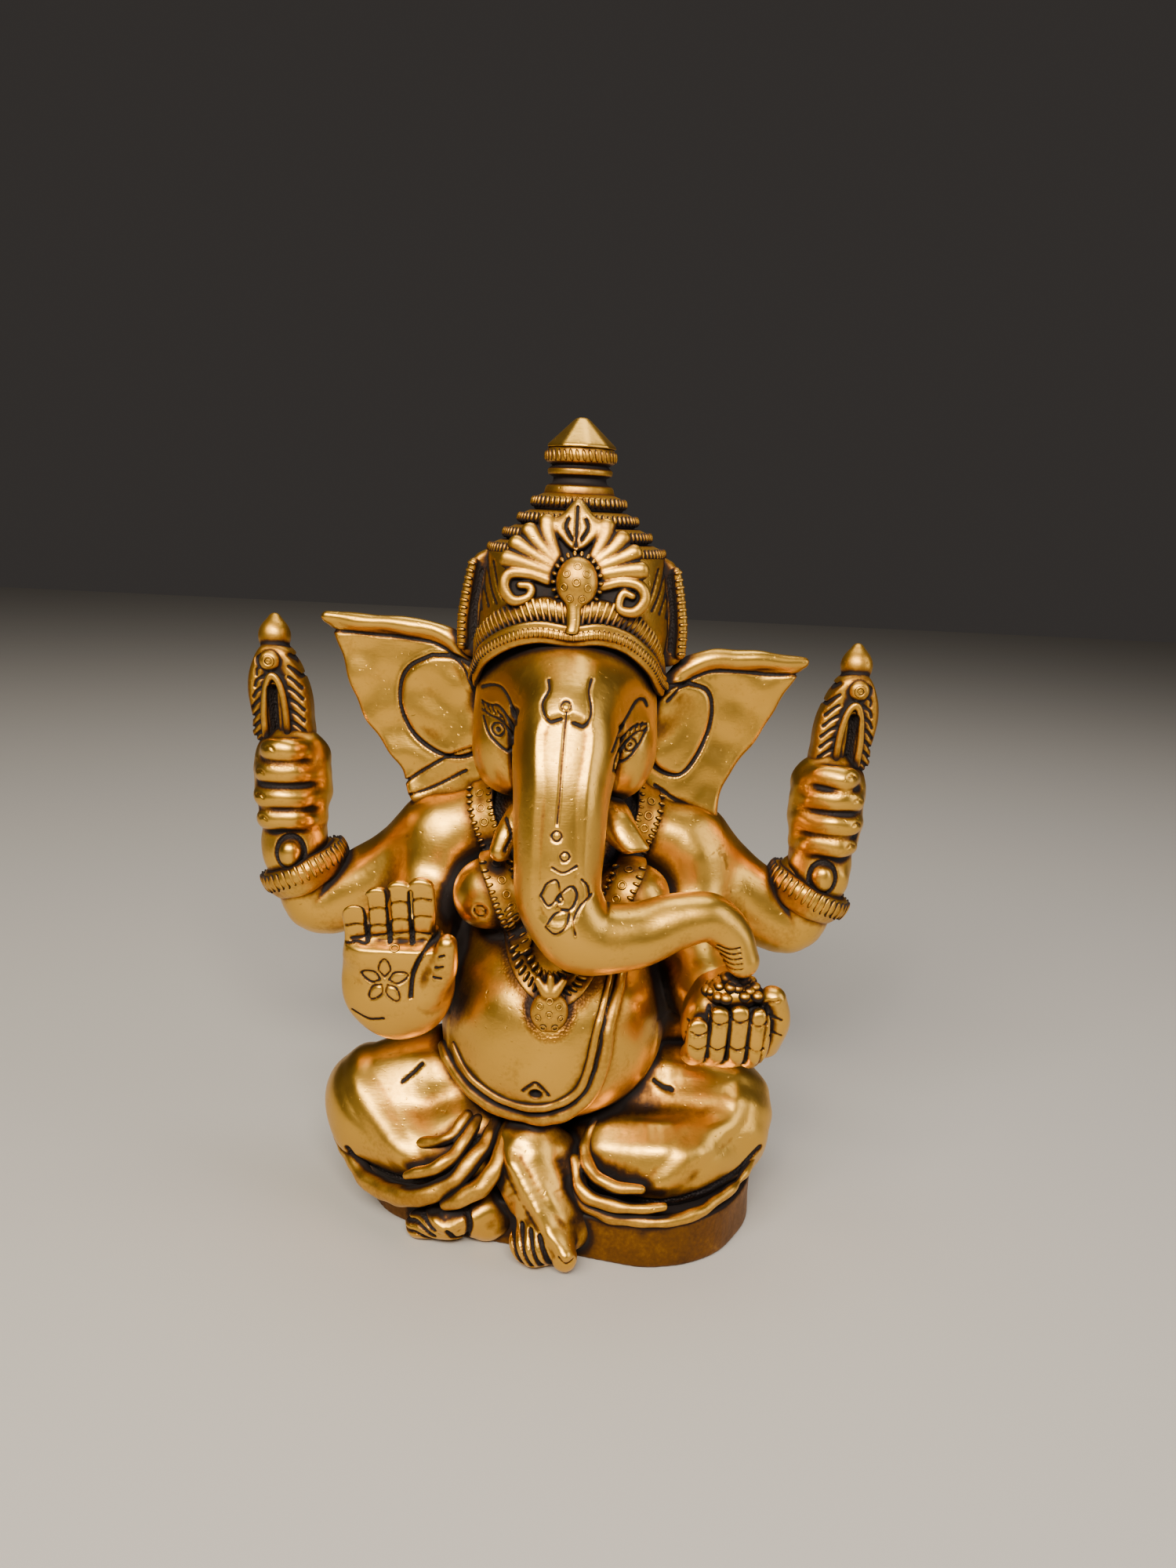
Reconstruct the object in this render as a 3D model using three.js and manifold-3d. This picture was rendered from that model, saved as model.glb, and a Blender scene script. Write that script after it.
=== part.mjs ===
// A seated, four-armed elephant-headed idol in cast brass, 150 mm tall.
// Each cast section is its own closed solid, and neighbours keep a thin seat gap between them.
// Millimetres, +Z up, the figure faces -Y, and its own left hand is on +X.
import * as THREE from "three";
import { mergeVertices } from "three/addons/utils/BufferGeometryUtils.js";
import Module from "manifold-3d";

const wasm = await Module();
wasm.setup();

// Driving dimensions
const HEIGHT = 150; // floor to the tip of the crown
const SEAT_GAP = 0.3; // clearance between two sections where one beds on the other
const FOOT_CLEARANCE = 0.3; // the feet stop this far above the floor
const PLINTH_TOP = 9; // height of the plinth
const PLINTH_WALL = 6; // thickness of the cored plinth's wall
const PLINTH_DECK = 2.8; // thickness of the plinth's top over its hollow
const CENTRING = new THREE.Vector3(1, 7.5, 0); // brings the middle of the box over the origin

// Finishes
const polished = new THREE.MeshStandardMaterial({ color: 0xc9973f, roughness: 0.28, metalness: 1 });
const chased = new THREE.MeshStandardMaterial({ color: 0x9a6c28, roughness: 0.45, metalness: 1 });
const ascast = new THREE.MeshStandardMaterial({ color: 0x7a5526, roughness: 0.5, metalness: 1 });

const point = (p) => new THREE.Vector3(...p);

// ---- Shapes ----

function place(geometry, centre, turn = [0, 0, 0]) {
  const degrees = turn.map(THREE.MathUtils.degToRad);
  geometry.applyMatrix4(new THREE.Matrix4().makeRotationFromEuler(new THREE.Euler(...degrees)));
  return geometry.translate(...centre);
}

function egg(centre, radii, turn, facets = [16, 10]) {
  return place(new THREE.SphereGeometry(1, ...facets).scale(...radii), centre, turn);
}

// A round-ended bar that follows a smooth curve, with its own radius at each point.
// A radius can be a pair: half the width in the curve's plane of X, and half the depth.
function limb(points, radii, sides = 10, steps = 6) {
  const curve = new THREE.CatmullRomCurve3(points.map(point));
  const pairs = radii.map((r) => (Array.isArray(r) ? r : [r, r]));
  const frames = steadyFrames(curve, steps);
  const bar = new THREE.CapsuleGeometry(1, steps, 2, sides, steps);
  const position = bar.getAttribute("position");
  const v = new THREE.Vector3();
  for (let i = 0; i < position.count; i++) {
    v.fromBufferAttribute(position, i);
    const along = THREE.MathUtils.clamp(v.y + steps / 2, 0, steps);
    const beyond = v.y + steps / 2 - along;
    const station = frames[Math.round(along)];
    const [wide, deep] = radiusAt(pairs, along / steps);
    const spot = station.centre.clone();
    spot.addScaledVector(station.side, v.x * wide);
    spot.addScaledVector(station.face, v.z * deep);
    spot.addScaledVector(station.ahead, beyond * Math.min(wide, deep));
    position.setXYZ(i, spot.x, spot.y, spot.z);
  }
  return bar;
}

// Axes along a curve that do not twist: the face axis stays as near to +Y as it can.
function steadyFrames(curve, steps) {
  return Array.from({ length: steps + 1 }, (_, i) => {
    const ahead = curve.getTangent(i / steps);
    const upright = Math.abs(ahead.y) > 0.9 ? new THREE.Vector3(0, 0, 1) : new THREE.Vector3(0, 1, 0);
    const side = new THREE.Vector3().crossVectors(ahead, upright).normalize();
    const face = new THREE.Vector3().crossVectors(side, ahead).normalize();
    return { centre: curve.getPoint(i / steps), ahead, side, face };
  });
}

function radiusAt(pairs, share) {
  const at = share * (pairs.length - 1);
  const low = Math.min(Math.floor(at), pairs.length - 2);
  const blend = THREE.MathUtils.smoothstep(at - low, 0, 1);
  return [0, 1].map((k) => THREE.MathUtils.lerp(pairs[low][k], pairs[low + 1][k], blend));
}

// A flat plate cut to a smooth closed outline in X and Z, with rounded edges.
function plate(outline, thickness, centre, turn, bevel = 0.6) {
  const flat = outline.map(([x, z]) => new THREE.Vector2(x, z));
  const shape = new THREE.Shape(new THREE.SplineCurve([...flat, flat[0]]).getPoints(outline.length * 2));
  const options = { depth: thickness - 2 * bevel, bevelSize: bevel, bevelThickness: bevel, bevelSegments: 1 };
  const body = new THREE.ExtrudeGeometry(shape, { ...options, bevelOffset: -bevel, steps: 1 });
  body.translate(0, 0, bevel - thickness / 2).rotateX(Math.PI / 2);
  return place(body, centre, turn);
}

// A turned solid about a vertical axis, from a profile of [radius, height] pairs that starts and ends on it.
function turned(profile, centre, squeeze = 1, facets = 24) {
  const body = new THREE.LatheGeometry(profile.map((p) => new THREE.Vector2(...p)), facets);
  return place(body.rotateX(Math.PI / 2).scale(1, squeeze, 1), centre);
}

function hoop(centre, [halfWidth, halfDepth], wire, turn, facets = [6, 24]) {
  const torus = new THREE.TorusGeometry(halfWidth, wire, ...facets);
  return place(torus.scale(1, halfDepth / halfWidth, 1), centre, turn);
}

// ---- Solids ----

function solidOf(geometry) {
  const bare = geometry.clone();
  bare.deleteAttribute("normal");
  bare.deleteAttribute("uv");
  const merged = mergeVertices(bare, 1e-4);
  const corner = merged.index.array;
  const kept = [];
  for (let i = 0; i < corner.length; i += 3) {
    const [a, b, c] = [corner[i], corner[i + 1], corner[i + 2]];
    if (a !== b && b !== c && a !== c) kept.push(a, b, c);
  }
  const vertProperties = merged.attributes.position.array;
  const triVerts = new Uint32Array(kept);
  const made = new wasm.Manifold(new wasm.Mesh({ numProp: 3, vertProperties, triVerts }));
  return made.volume() < 0 ? solidOf(flipped(merged)) : made;
}

function flipped(geometry) {
  const order = geometry.index.array;
  for (let i = 0; i < order.length; i += 3) [order[i + 1], order[i + 2]] = [order[i + 2], order[i + 1]];
  return geometry;
}

// The same shape with its skin moved out along its own normals.
function grown(geometry, by) {
  const bare = geometry.clone();
  bare.deleteAttribute("normal");
  bare.deleteAttribute("uv");
  const merged = mergeVertices(bare, 1e-4);
  merged.computeVertexNormals();
  const position = merged.getAttribute("position");
  const normal = merged.getAttribute("normal");
  for (let i = 0; i < position.count; i++) {
    position.setXYZ(
      i,
      position.getX(i) + normal.getX(i) * by,
      position.getY(i) + normal.getY(i) * by,
      position.getZ(i) + normal.getZ(i) * by,
    );
  }
  return merged;
}

const union = (solids) => solids.reduce((sum, s) => sum.add(s));

function geometryOf(solid) {
  const mesh = solid.getMesh();
  const body = new THREE.BufferGeometry();
  const corners = new Float32Array(mesh.numVert * 3);
  for (let i = 0; i < mesh.numVert; i++) {
    corners.set(mesh.vertProperties.subarray(i * mesh.numProp, i * mesh.numProp + 3), i * 3);
  }
  body.setAttribute("position", new THREE.BufferAttribute(corners, 3));
  body.setIndex(new THREE.BufferAttribute(new Uint32Array(mesh.triVerts), 1));
  body.computeVertexNormals();
  return body;
}

// ---- Assembly ----

const idol = new THREE.Group();
const bedded = []; // what each finished section keeps clear of its neighbours

// Adds a section: its shapes joined, then cut back by every section already in place.
function section(name, material, shapes, { trim = [] } = {}) {
  let solid = union(shapes.map(solidOf));
  for (const tool of trim) solid = solid.subtract(tool);
  for (const neighbour of bedded) solid = solid.subtract(neighbour);
  const largest = solid.decompose().sort((a, b) => b.volume() - a.volume())[0];
  const mesh = new THREE.Mesh(geometryOf(largest), material);
  mesh.name = name;
  idol.add(mesh);
  bedded.push(union(shapes.map((s) => solidOf(grown(s, SEAT_GAP)))));
}

const mirrored = (points) => points.map(([x, ...rest]) => [-x, ...rest]);
const block = (low, high) => {
  const size = high.map((v, i) => v - low[i]);
  return new THREE.BoxGeometry(...size).translate(...low.map((v, i) => v + size[i] / 2));
};
const floorCut = solidOf(block([-99, -99, -99], [99, 99, FOOT_CLEARANCE]));
const plinthCut = solidOf(block([-99, -99, -99], [99, 99, PLINTH_TOP + SEAT_GAP]));

// The plinth: kidney-shaped, with a vertical wall, and hollow below where the casting is cored.
function plinth() {
  const outline = [
    [-39, -7], [-36, -19], [-26, -27], [-12, -29.5], [0, -28.5], [8, -32], [20, -34], [31, -29],
    [38.5, -17], [39.5, -4], [34, 12], [20, 21], [0, 24], [-20, 21], [-34, 12],
  ];
  const flat = outline.map(([x, y]) => new THREE.Vector2(x, y));
  const rim = new THREE.SplineCurve([...flat, flat[0]]).getPoints(48);
  const full = new THREE.ExtrudeGeometry(new THREE.Shape(rim), { depth: PLINTH_TOP, bevelEnabled: false });
  const core = new THREE.CylinderGeometry(1, 1, 2 * (PLINTH_TOP - PLINTH_DECK), 32).rotateX(Math.PI / 2);
  core.scale(38 - PLINTH_WALL, 27 - PLINTH_WALL, 1).translate(0, -4, 0);
  section("plinth", ascast, [full], { trim: [solidOf(core)] });
}

// The body: round belly, broad chest and the seat, with the two breasts.
function body() {
  section("torso", polished, [
    egg([-0.5, -5.5, 43], [22, 24, 20], undefined, [24, 14]),
    egg([0, 3.5, 60], [23, 15, 19]),
    egg([0, 4, 22], [26, 19.4, 15]),
    egg([-24, 4, 68], [9, 8, 8], undefined, [10, 8]),
    egg([24, 4, 68], [9, 8, 8], undefined, [10, 8]),
    limb([[0, 1, 62], [0, 0, 78]], [13, 10], 10, 3),
    egg([-12.5, -9, 64.5], [7, 7, 6], undefined, [12, 8]),
    egg([12.5, -9, 64.5], [7, 7, 6], undefined, [12, 8]),
  ], { trim: [plinthCut] });
}

// The seated legs under their wrap, one side at a time.
function legs() {
  const trim = { trim: [plinthCut] };
  section("right_thigh", polished, [
    limb([[-13, -7, 22], [-24, -9, 21], [-34, -9, 19]], [11, 10.5, 9.8]),
  ], trim);
  section("left_thigh", polished, [
    limb([[13, -7, 22], [24, -9, 21], [33, -9, 19.5]], [11, 10.5, 9.8]),
  ], trim);
  section("right_shin", polished, [
    limb([[-34, -12, 15], [-24, -19, 14], [-11, -23, 16]], [8, 8.2, 7]),
  ], trim);
  section("left_shin", polished, [
    limb([[33, -12, 15], [23, -21, 14.5], [11, -21, 16]], [8.5, 10, 8]),
  ], trim);
}

// Both feet reach past the plinth's front, and their toes are chased in.
function feet() {
  const trim = { trim: [floorCut] };
  section("right_foot", polished, [
    limb([[-3, -25, 20], [-3.2, -29, 13], [0.5, -33, 6.5], [2.5, -35, 3.6]],
      [[5.2, 4.5], [4.4, 4], [4.2, 3.6], [3.6, 3]]),
    ...[0, 1, 2, 3].map((i) =>
      limb([[-1.5 - 1.6 * i, -31.6 + 0.3 * i, 7.4], [-1.2 - 2 * i, -35 + 0.5 * i, 3.2]], [1.1, 1.2], 6, 2),
    ),
  ], trim);
  section("left_foot", polished, [
    limb([[-9.5, -28.5, 6], [-15, -29, 5.5], [-22, -28, 4]], [[4, 3.4], [4, 3.2], [3.2, 2.6]]),
    ...[0, 1, 2, 3].map((i) => {
      const root = [-20, -28.5 - 0.3 * i, 6.4 - 1.5 * i];
      return limb([root, [-25.5 + 0.8 * i, -27.2 - 0.5 * i, 5.6 - 1.3 * i]], [1, 1], 6, 2);
    }),
  ], trim);
}

// The wrap's gathered pleats and its hems over the shins.
function wrap() {
  const trim = { trim: [plinthCut] };
  const fold = [1.2, 1.4, 0.8];
  section("right_pleats", chased, [0, 1, 2].map((i) => limb([
    [-9 + 1.6 * i, -26, 24 - 1.4 * i],
    [-15 + 2 * i, -28.4, 18.5 - 1.8 * i],
    [-24 + 4 * i, -27.5, 14.5 - 1.2 * i],
  ], fold, 6, 5)), trim);
  section("left_pleats", chased, [0, 1].map((i) => limb([
    [7.5, -26 + i, 22 - 2.5 * i], [11, -29.6, 16 - 2 * i], [22, -32 + 0.2 * i, 13.6 - 1.6 * i],
  ], fold, 6, 5)), trim);
  const rightEdge = [[-41, -12, 13], [-35, -20, 10.8], [-26, -27, 10.8], [-16, -29.5, 12.4], [-9, -28, 17.5]];
  section("right_hem", chased, [limb(rightEdge, [1.2, 1.6, 1.8, 1.6, 1.3], 6, 10)], trim);
  const leftEdge = [[6.2, -24, 19], [9, -29, 13], [19, -33, 10.6], [30, -28.5, 11], [38, -17, 13]];
  section("left_hem", chased, [limb(leftEdge, [1, 1.3, 1.5, 1.4, 1], 6, 10)], trim);
}

// The head: cranium, the two cheeks and the brow, and then the trunk down to its tip.
function head() {
  section("head", polished, [
    egg([0, -2, 99.5], [18, 18, 15.5], undefined, [22, 14]),
    egg([-9.5, -9, 91.5], [7.6, 9, 9.5], undefined, [12, 8]),
    egg([9.5, -9, 91.5], [7.6, 9, 9.5], undefined, [12, 8]),
  ]);
  const sweep = [
    [0, -13, 103], [-0.4, -23, 96], [-0.8, -29, 86], [-0.8, -31, 76], [0.2, -31.5, 67], [5.5, -31, 61.8],
    [13, -29.5, 62.3], [20, -27.5, 65.2], [26, -26, 66], [30.4, -25.6, 62.5], [32.4, -26, 58.2],
  ];
  section("trunk", polished, [limb(sweep, [9.5, 9.2, 8.2, 7.7, 7.5, 6.8, 5.6, 4.8, 4.3, 3.7, 3], 12, 18)]);
  section("right_tusk", polished, [limb([[-8.5, -12, 79.5], [-11.2, -18, 74.2]], [3, 2.5], 10, 3)]);
  const leftTusk = [[8, -12, 80], [11.5, -18, 76], [13.4, -22, 73.4]];
  section("left_tusk", polished, [limb(leftTusk, [3.1, 2.8, 1.7], 10, 4)]);
}

// A fan-shaped ear with its raised inner boss and the rolled rim along its top; drop lowers it.
function ear(name, side, drop) {
  const outline = [
    [13, 111 - drop], [22, 112.5 - drop], [33, 111.5 - drop], [46, 112 - drop], [44, 103 - drop],
    [40, 94 - drop], [34, 85 - drop], [29.5, 77.5 - drop], [24, 78 - drop], [15, 82.5 - drop],
    [12, 96 - drop],
  ];
  const shape = side < 0 ? mirrored(outline).reverse() : outline;
  const sweep = [0, 0, side * 10];
  const rim = [[21, -2, 110.5 - drop], [33, 1, 110.2 - drop], [44.5, 4, 111 - drop]];
  const boss = [side * 25.5, -0.8, 96.5 - drop];
  section(name, polished, [
    plate(shape, 2.8, [0, 0, 0], sweep, 0.7),
    egg(boss, [5.4, 2.6, 9.4], [0, side * 8, 0], [16, 10]),
    limb(side < 0 ? mirrored(rim) : rim, [1.6, 2, 1.3], 8, 6),
  ]);
}

// The crown: brow band, fluted band, stepped dome, finial, and the chased front and side ornaments.
function crown() {
  section("brow_band", chased, [hoop([0, -1, 106], [17.6, 18.4], 2.1, [-19, 0, 0], [6, 26])]);
  section("fluted_band", chased, [hoop([0, -0.4, 109.6], [18, 18.2], 2.6, [-16, 0, 0], [6, 26])]);
  section("crown_dome", chased, [
    turned([[0, 104], [17.2, 104], [17.8, 113], [17, 124.6], [0, 124.6]], [0, 1, 0], 0.97),
  ]);
  const tiers = [[16.4, 124.9, 2.5], [13.6, 127.7, 2.5], [11, 130.5, 2.5], [8.6, 133.3, 2.5]];
  tiers.forEach(([r, z, h], i) =>
    section(`crown_tier_${i + 1}`, chased, [
      turned([[0, z], [r - 0.8, z], [r, z + h / 2], [r - 0.9, z + h], [0, z + h]], [0, 1.5, 0], 0.97),
    ]));
  const stem = [
    [0, 136.1], [6, 136.1], [6.4, 137.2], [4.7, 138.4], [4.7, 139.6], [6, 140.2], [5.8, 141.7], [0, 141.7],
  ];
  section("finial_stem", chased, [turned(stem, [0, 2, 0], 1, 24)]);
  section("finial_rope_ring", chased, [
    turned([[0, 142.1], [6.2, 142.1], [6.8, 143.4], [6.3, 144.7], [0, 144.7]], [0, 2, 0], 1, 24),
  ]);
  const cone = [[0, 145], [6.2, 145], [5.6, 146], [3.2, 148.4], [1, HEIGHT - 0.3], [0, HEIGHT]];
  section("finial_cone", polished, [turned(cone, [0, 2, 0], 1, 16)]);
  const jewel = egg([-0.2, -18.4, 121.6], [3.6, 2.2, 4.6], [-6, 0, 0], [14, 8]);
  section("crown_jewel", chased, [jewel]);
  const leaves = [
    [-4, -5.1], [-11.2, -4.8], [-12, -0.6], [-11, 4.4], [-6.8, 6.4], [-3.6, 9.9], [0, 13.4], [3.8, 9.9],
    [6.8, 6.4], [11, 4.4], [12, -0.6], [11.2, -4.8], [4, -5.1], [0, -4],
  ];
  section("crown_flower", chased, [plate(leaves, 5, [0, -15.6, 121.6], [-9, 0, 0])]);
  for (const [name, side] of [["right", -1], ["left", 1]]) {
    const wing = [[18.6, 108], [22.4, 108], [22, 113], [21, 120], [20.2, 125], [18.4, 125], [18, 118]];
    const shape = side < 0 ? mirrored(wing).reverse() : wing;
    section(`${name}_crown_wing`, chased, [plate(shape, 8, [0, 2.5, 0], [0, 0, 0])]);
  }
}

// A raised back arm with its flared cuff, closed fist and the emblem it holds; x is the fist's distance out.
function backArm(name, side, x, tilt) {
  const at = (points) => points.map(([px, ...rest]) => [side * px, ...rest]);
  section(`${name}_back_arm`, polished, [
    limb(at([[26, 5, 68], [36, 6, 60], [x - 7, 6, 54.5], [x - 4, 5.5, 60]]), [8, 7.2, 7.6, 6.6], 10, 7),
  ]);
  section(`${name}_cuff`, chased, [
    hoop([side * (x - 3.2), 4.8, 62.6], [7.6, 7.4], 1.6, [0, side * tilt, 0], [6, 18]),
  ]);
  const grip = at([[x - 3, 5, 61], [x - 1.6, 3.4, 70], [x - 1, 3, 78], [x - 1.2, 3.4, 85]]);
  section(`${name}_fist`, polished, [limb(grip, [[5, 4.8], [7, 6.2], [7.4, 6.6], [6, 5.4]], 10, 5)]);
  const flame = at([[x + 0.2, 4.6, 88], [x + 1.4, 5.6, 97], [x + 2, 6.4, 105]]);
  const bud = at([[x + 2, 6.8, 105.4], [x + 2.5, 7.4, 109.6]]);
  section(`${name}_emblem`, chased, [
    limb(flame, [[4.6, 3.4], [6, 3.6], [3, 2.8]], 10, 5),
    limb(bud, [2.9, 1.6], 8, 2),
  ]);
}

// The right hand is raised in blessing, palm to the front.
function blessingHand() {
  const forearm = [[-25, 2, 66], [-27, -8, 56], [-28, -17, 50]];
  section("right_forearm", polished, [limb(forearm, [6.5, 6, 6.5], 10, 4)]);
  section("right_palm", polished, [
    egg([-28.6, -24, 49.5], [9.8, 4.6, 10.8], [6, 0, 0], [18, 10]),
  ]);
  const reach = [62.5, 66.6, 68.4, 69]; // tops of the little, ring, middle and index fingers
  section("right_fingers", polished, reach.map((top, i) => {
    const x = -36.2 + 3.9 * i;
    const bones = [[x, -25, 57], [x + 0.4, -26.4, (57 + top) / 2 + 1], [x + 0.7, -28.8, top]];
    return limb(bones, [2.1, 2.1, 1.7], 7, 3);
  }));
  const thumb = [[-22, -25, 49], [-19.8, -26, 54], [-19.8, -27, 59]];
  section("right_thumb", polished, [limb(thumb, [2.2, 2, 1.5], 8, 5)]);
}

// The left hand is cupped upwards and holds the sweets that the trunk's tip reaches for.
function offeringHand() {
  section("left_forearm", polished, [limb([[25, 2, 64], [27, -8, 54], [29, -16, 46]], [6.5, 6, 6.5], 10, 4)]);
  section("left_palm", polished, [egg([31.4, -22.5, 42.8], [8.8, 5, 8.4], undefined, [14, 9])]);
  const reach = [46, 49, 49.6, 48.4]; // tops of the little, ring, middle and index fingers
  section("left_fingers", polished, reach.map((top, i) => {
    const x = 26.4 + 3.4 * i;
    return limb([[x, -25, 36.6], [x + 0.2, -28.6, 41], [x + 0.1, -28, top]], [1.9, 1.95, 1.7], 7, 3);
  }));
  const thumb = [[38.6, -22, 41], [40, -24, 46], [38.4, -25.6, 50.5]];
  section("left_thumb", polished, [limb(thumb, [2.6, 2.4, 1.8], 8, 5)]);
  section("sweets", chased, [
    egg([28.8, -25.4, 51.6], [3, 2.8, 2.6], undefined, [10, 6]),
    egg([33.4, -26.4, 52.2], [3.4, 3, 2.8], undefined, [10, 6]),
    egg([31, -22.4, 54], [3, 2.6, 2.2], undefined, [10, 6]),
  ]);
}

// What is worn: a collar on each shoulder, the rope necklace, its pendant, and the thread round the belly.
function jewellery() {
  for (const [name, side] of [["right", -1], ["left", 1]]) {
    const strap = [[17.5, -5, 80], [16, -11.5, 71], [10.5, -17.5, 62], [7.2, -21, 56.5]];
    section(`${name}_collar`, chased, [
      limb(side < 0 ? mirrored(strap) : strap, [[3.4, 2.6], [3.6, 2.6], [2.6, 2.4], [1.8, 2]], 8, 6),
    ]);
  }
  const chain = [[-9, -19, 62], [-6.4, -24, 55.6], [-1, -27, 51], [4.6, -25.8, 54.2], [8.6, -22, 60]];
  section("necklace", chased, [limb(chain, [1.5, 1.6, 1.8, 1.6, 1.5], 6, 12)]);
  section("pendant", chased, [egg([-1.2, -29.6, 46.6], [3.7, 1.7, 4.2], [-4, 0, 0], [14, 8])]);
  const thread = [
    [12.2, -24.2, 53], [11.2, -28, 42], [7.2, -29.4, 32.5], [-1.8, -28.6, 27.4], [-12, -25, 28],
    [-20.6, -17, 32.5],
  ];
  section("belly_thread", chased, [limb(thread, [1.1, 1.3, 1.4, 1.4, 1.4, 1], 6, 16)]);
}

plinth();
body();
legs();
feet();
wrap();
head();
ear("right_ear", -1, 0);
ear("left_ear", 1, 3.6);
crown();
backArm("right", -1, 55, 24);
backArm("left", 1, 53, 24);
blessingHand();
offeringHand();
jewellery();

idol.position.copy(CENTRING);
export default idol;
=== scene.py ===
# %% [markdown]
# # A small brass idol, sculpted in code
# The real thing is a lost-wax casting: a maker models the figure in wax, casts it in brass, files and
# polishes the high places, and chases lines, rings and leaves into it with small punches. A brown
# lacquer is rubbed over everything and wiped off again, so it stays only in the hollows.
# This file follows the same order: clay first, then repeated ornament, then the finish.

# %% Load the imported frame
import math

import bpy
import numpy as np
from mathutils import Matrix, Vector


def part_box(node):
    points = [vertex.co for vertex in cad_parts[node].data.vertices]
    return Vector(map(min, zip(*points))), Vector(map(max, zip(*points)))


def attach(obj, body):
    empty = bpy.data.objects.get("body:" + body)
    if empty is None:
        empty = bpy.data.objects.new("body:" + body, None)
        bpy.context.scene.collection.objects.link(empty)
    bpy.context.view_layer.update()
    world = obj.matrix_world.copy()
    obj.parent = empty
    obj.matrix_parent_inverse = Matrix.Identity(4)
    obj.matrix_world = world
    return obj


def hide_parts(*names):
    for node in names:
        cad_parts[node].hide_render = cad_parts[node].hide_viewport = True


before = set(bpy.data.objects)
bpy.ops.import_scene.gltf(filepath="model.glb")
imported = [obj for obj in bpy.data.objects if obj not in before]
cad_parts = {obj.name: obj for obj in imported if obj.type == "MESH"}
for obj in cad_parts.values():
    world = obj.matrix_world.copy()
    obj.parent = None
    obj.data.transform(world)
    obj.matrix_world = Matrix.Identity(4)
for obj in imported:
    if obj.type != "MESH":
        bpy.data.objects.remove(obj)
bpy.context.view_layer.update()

import openvdb
from mathutils import Matrix, Vector

# %% [markdown]
# ## Figure millimetres
# Sculpting is easier in millimetres measured from the figure's own middle: x to its left hand,
# y to its back, z up from the floor. The tip of the crown fixes where that middle is in the frame.

# %% Where the figure stands in the frame
MM = 0.001
TIP_BEHIND_MIDDLE = 2.0  # the crown's axis is this far behind the figure's own middle
low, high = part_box("finial_cone")
tip = (low + high) / 2 / MM
MIDDLE = np.array([tip.x, tip.y - TIP_BEHIND_MIDDLE, 0.0])
HEIGHT = high.z / MM
print("middle of the figure", MIDDLE, "height", HEIGHT)


def metres(x, y, z):
    return Vector(((x + MIDDLE[0]) * MM, (y + MIDDLE[1]) * MM, z * MM))


# %% [markdown]
# ## Camera
# The view is from close in front, as high as the crown, tilted down and rolled slightly, as when a
# small camera is held by hand. A wide lens so near makes the crown and the raised hands look large.

# %% Camera
CAMERA_PLACE = (0.0, -218.0, 132.5)
LOOK_DOWN, LOOK_ASIDE, ROLL = (math.radians(a) for a in (13.0, 1.1, 2.8))
SENSOR, LENS = 36.0, 26.6


def add_camera():
    data = bpy.data.cameras.new("camera")
    data.sensor_width, data.lens, data.clip_start = SENSOR, LENS, 0.01
    camera = bpy.data.objects.new("camera", data)
    ahead = Vector((math.sin(LOOK_ASIDE) * math.cos(LOOK_DOWN), math.cos(LOOK_ASIDE) * math.cos(LOOK_DOWN),
                    -math.sin(LOOK_DOWN)))
    right = Vector((math.cos(LOOK_ASIDE), -math.sin(LOOK_ASIDE), 0))
    up = right.cross(ahead)
    level = Matrix((right * math.cos(ROLL) + up * math.sin(ROLL),
                    up * math.cos(ROLL) - right * math.sin(ROLL), -ahead)).transposed()
    camera.matrix_world = Matrix.Translation(metres(*CAMERA_PLACE)) @ level.to_4x4()
    bpy.context.collection.objects.link(camera)
    bpy.context.scene.camera = camera


add_camera()

# %% [markdown]
# ## Clay
# A block of clay here is a grid of numbers, each the distance in millimetres to the nearest surface,
# negative inside. Two shapes join with a soft fillet when their distances are blended, a line is
# engraved by adding to the numbers along it, and OpenVDB turns the zero level into a mesh of quads.
# A modeller would do the same with metaballs or sculpt brushes, but numbers can be repeated exactly.

# %% Blends
FAR = 6.0  # distances are kept right up to this far from a surface
REACH = 4.5  # how far round a shape its distance is worked out


def soft_min(a, b, k):
    """The nearer of two distances, with a fillet of about k where they meet."""
    if k <= 0:
        return np.minimum(a, b)
    h = np.maximum(k - np.abs(a - b), 0) / k
    return np.minimum(a, b) - h * h * (k / 4)


def soft_max(a, b, k):
    return -soft_min(-a, -b, k)


def curve(points, steps=6, closed=False):
    """Points on a smooth curve through the given points (Catmull-Rom)."""
    p = np.array(points, float)
    p = p.reshape(len(p), -1)
    ends = (p[-1], p[0], p[1]) if closed else (2 * p[0] - p[1], 2 * p[-1] - p[-2])
    q = np.vstack([ends[0], p, ends[1:]]) if closed else np.vstack([ends[0], p, ends[1]])
    t = np.linspace(0, 1, steps, endpoint=False)[:, None]
    out = []
    for i in range(len(q) - 3):
        a, b, c, d = q[i:i + 4]
        out.append(0.5 * (2 * b + (c - a) * t + (2 * a - 5 * b + 4 * c - d) * t ** 2
                          + (3 * b - a - 3 * c + d) * t ** 3))
    if not closed:
        out.append(p[-1:])
    return np.vstack(out)


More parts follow.
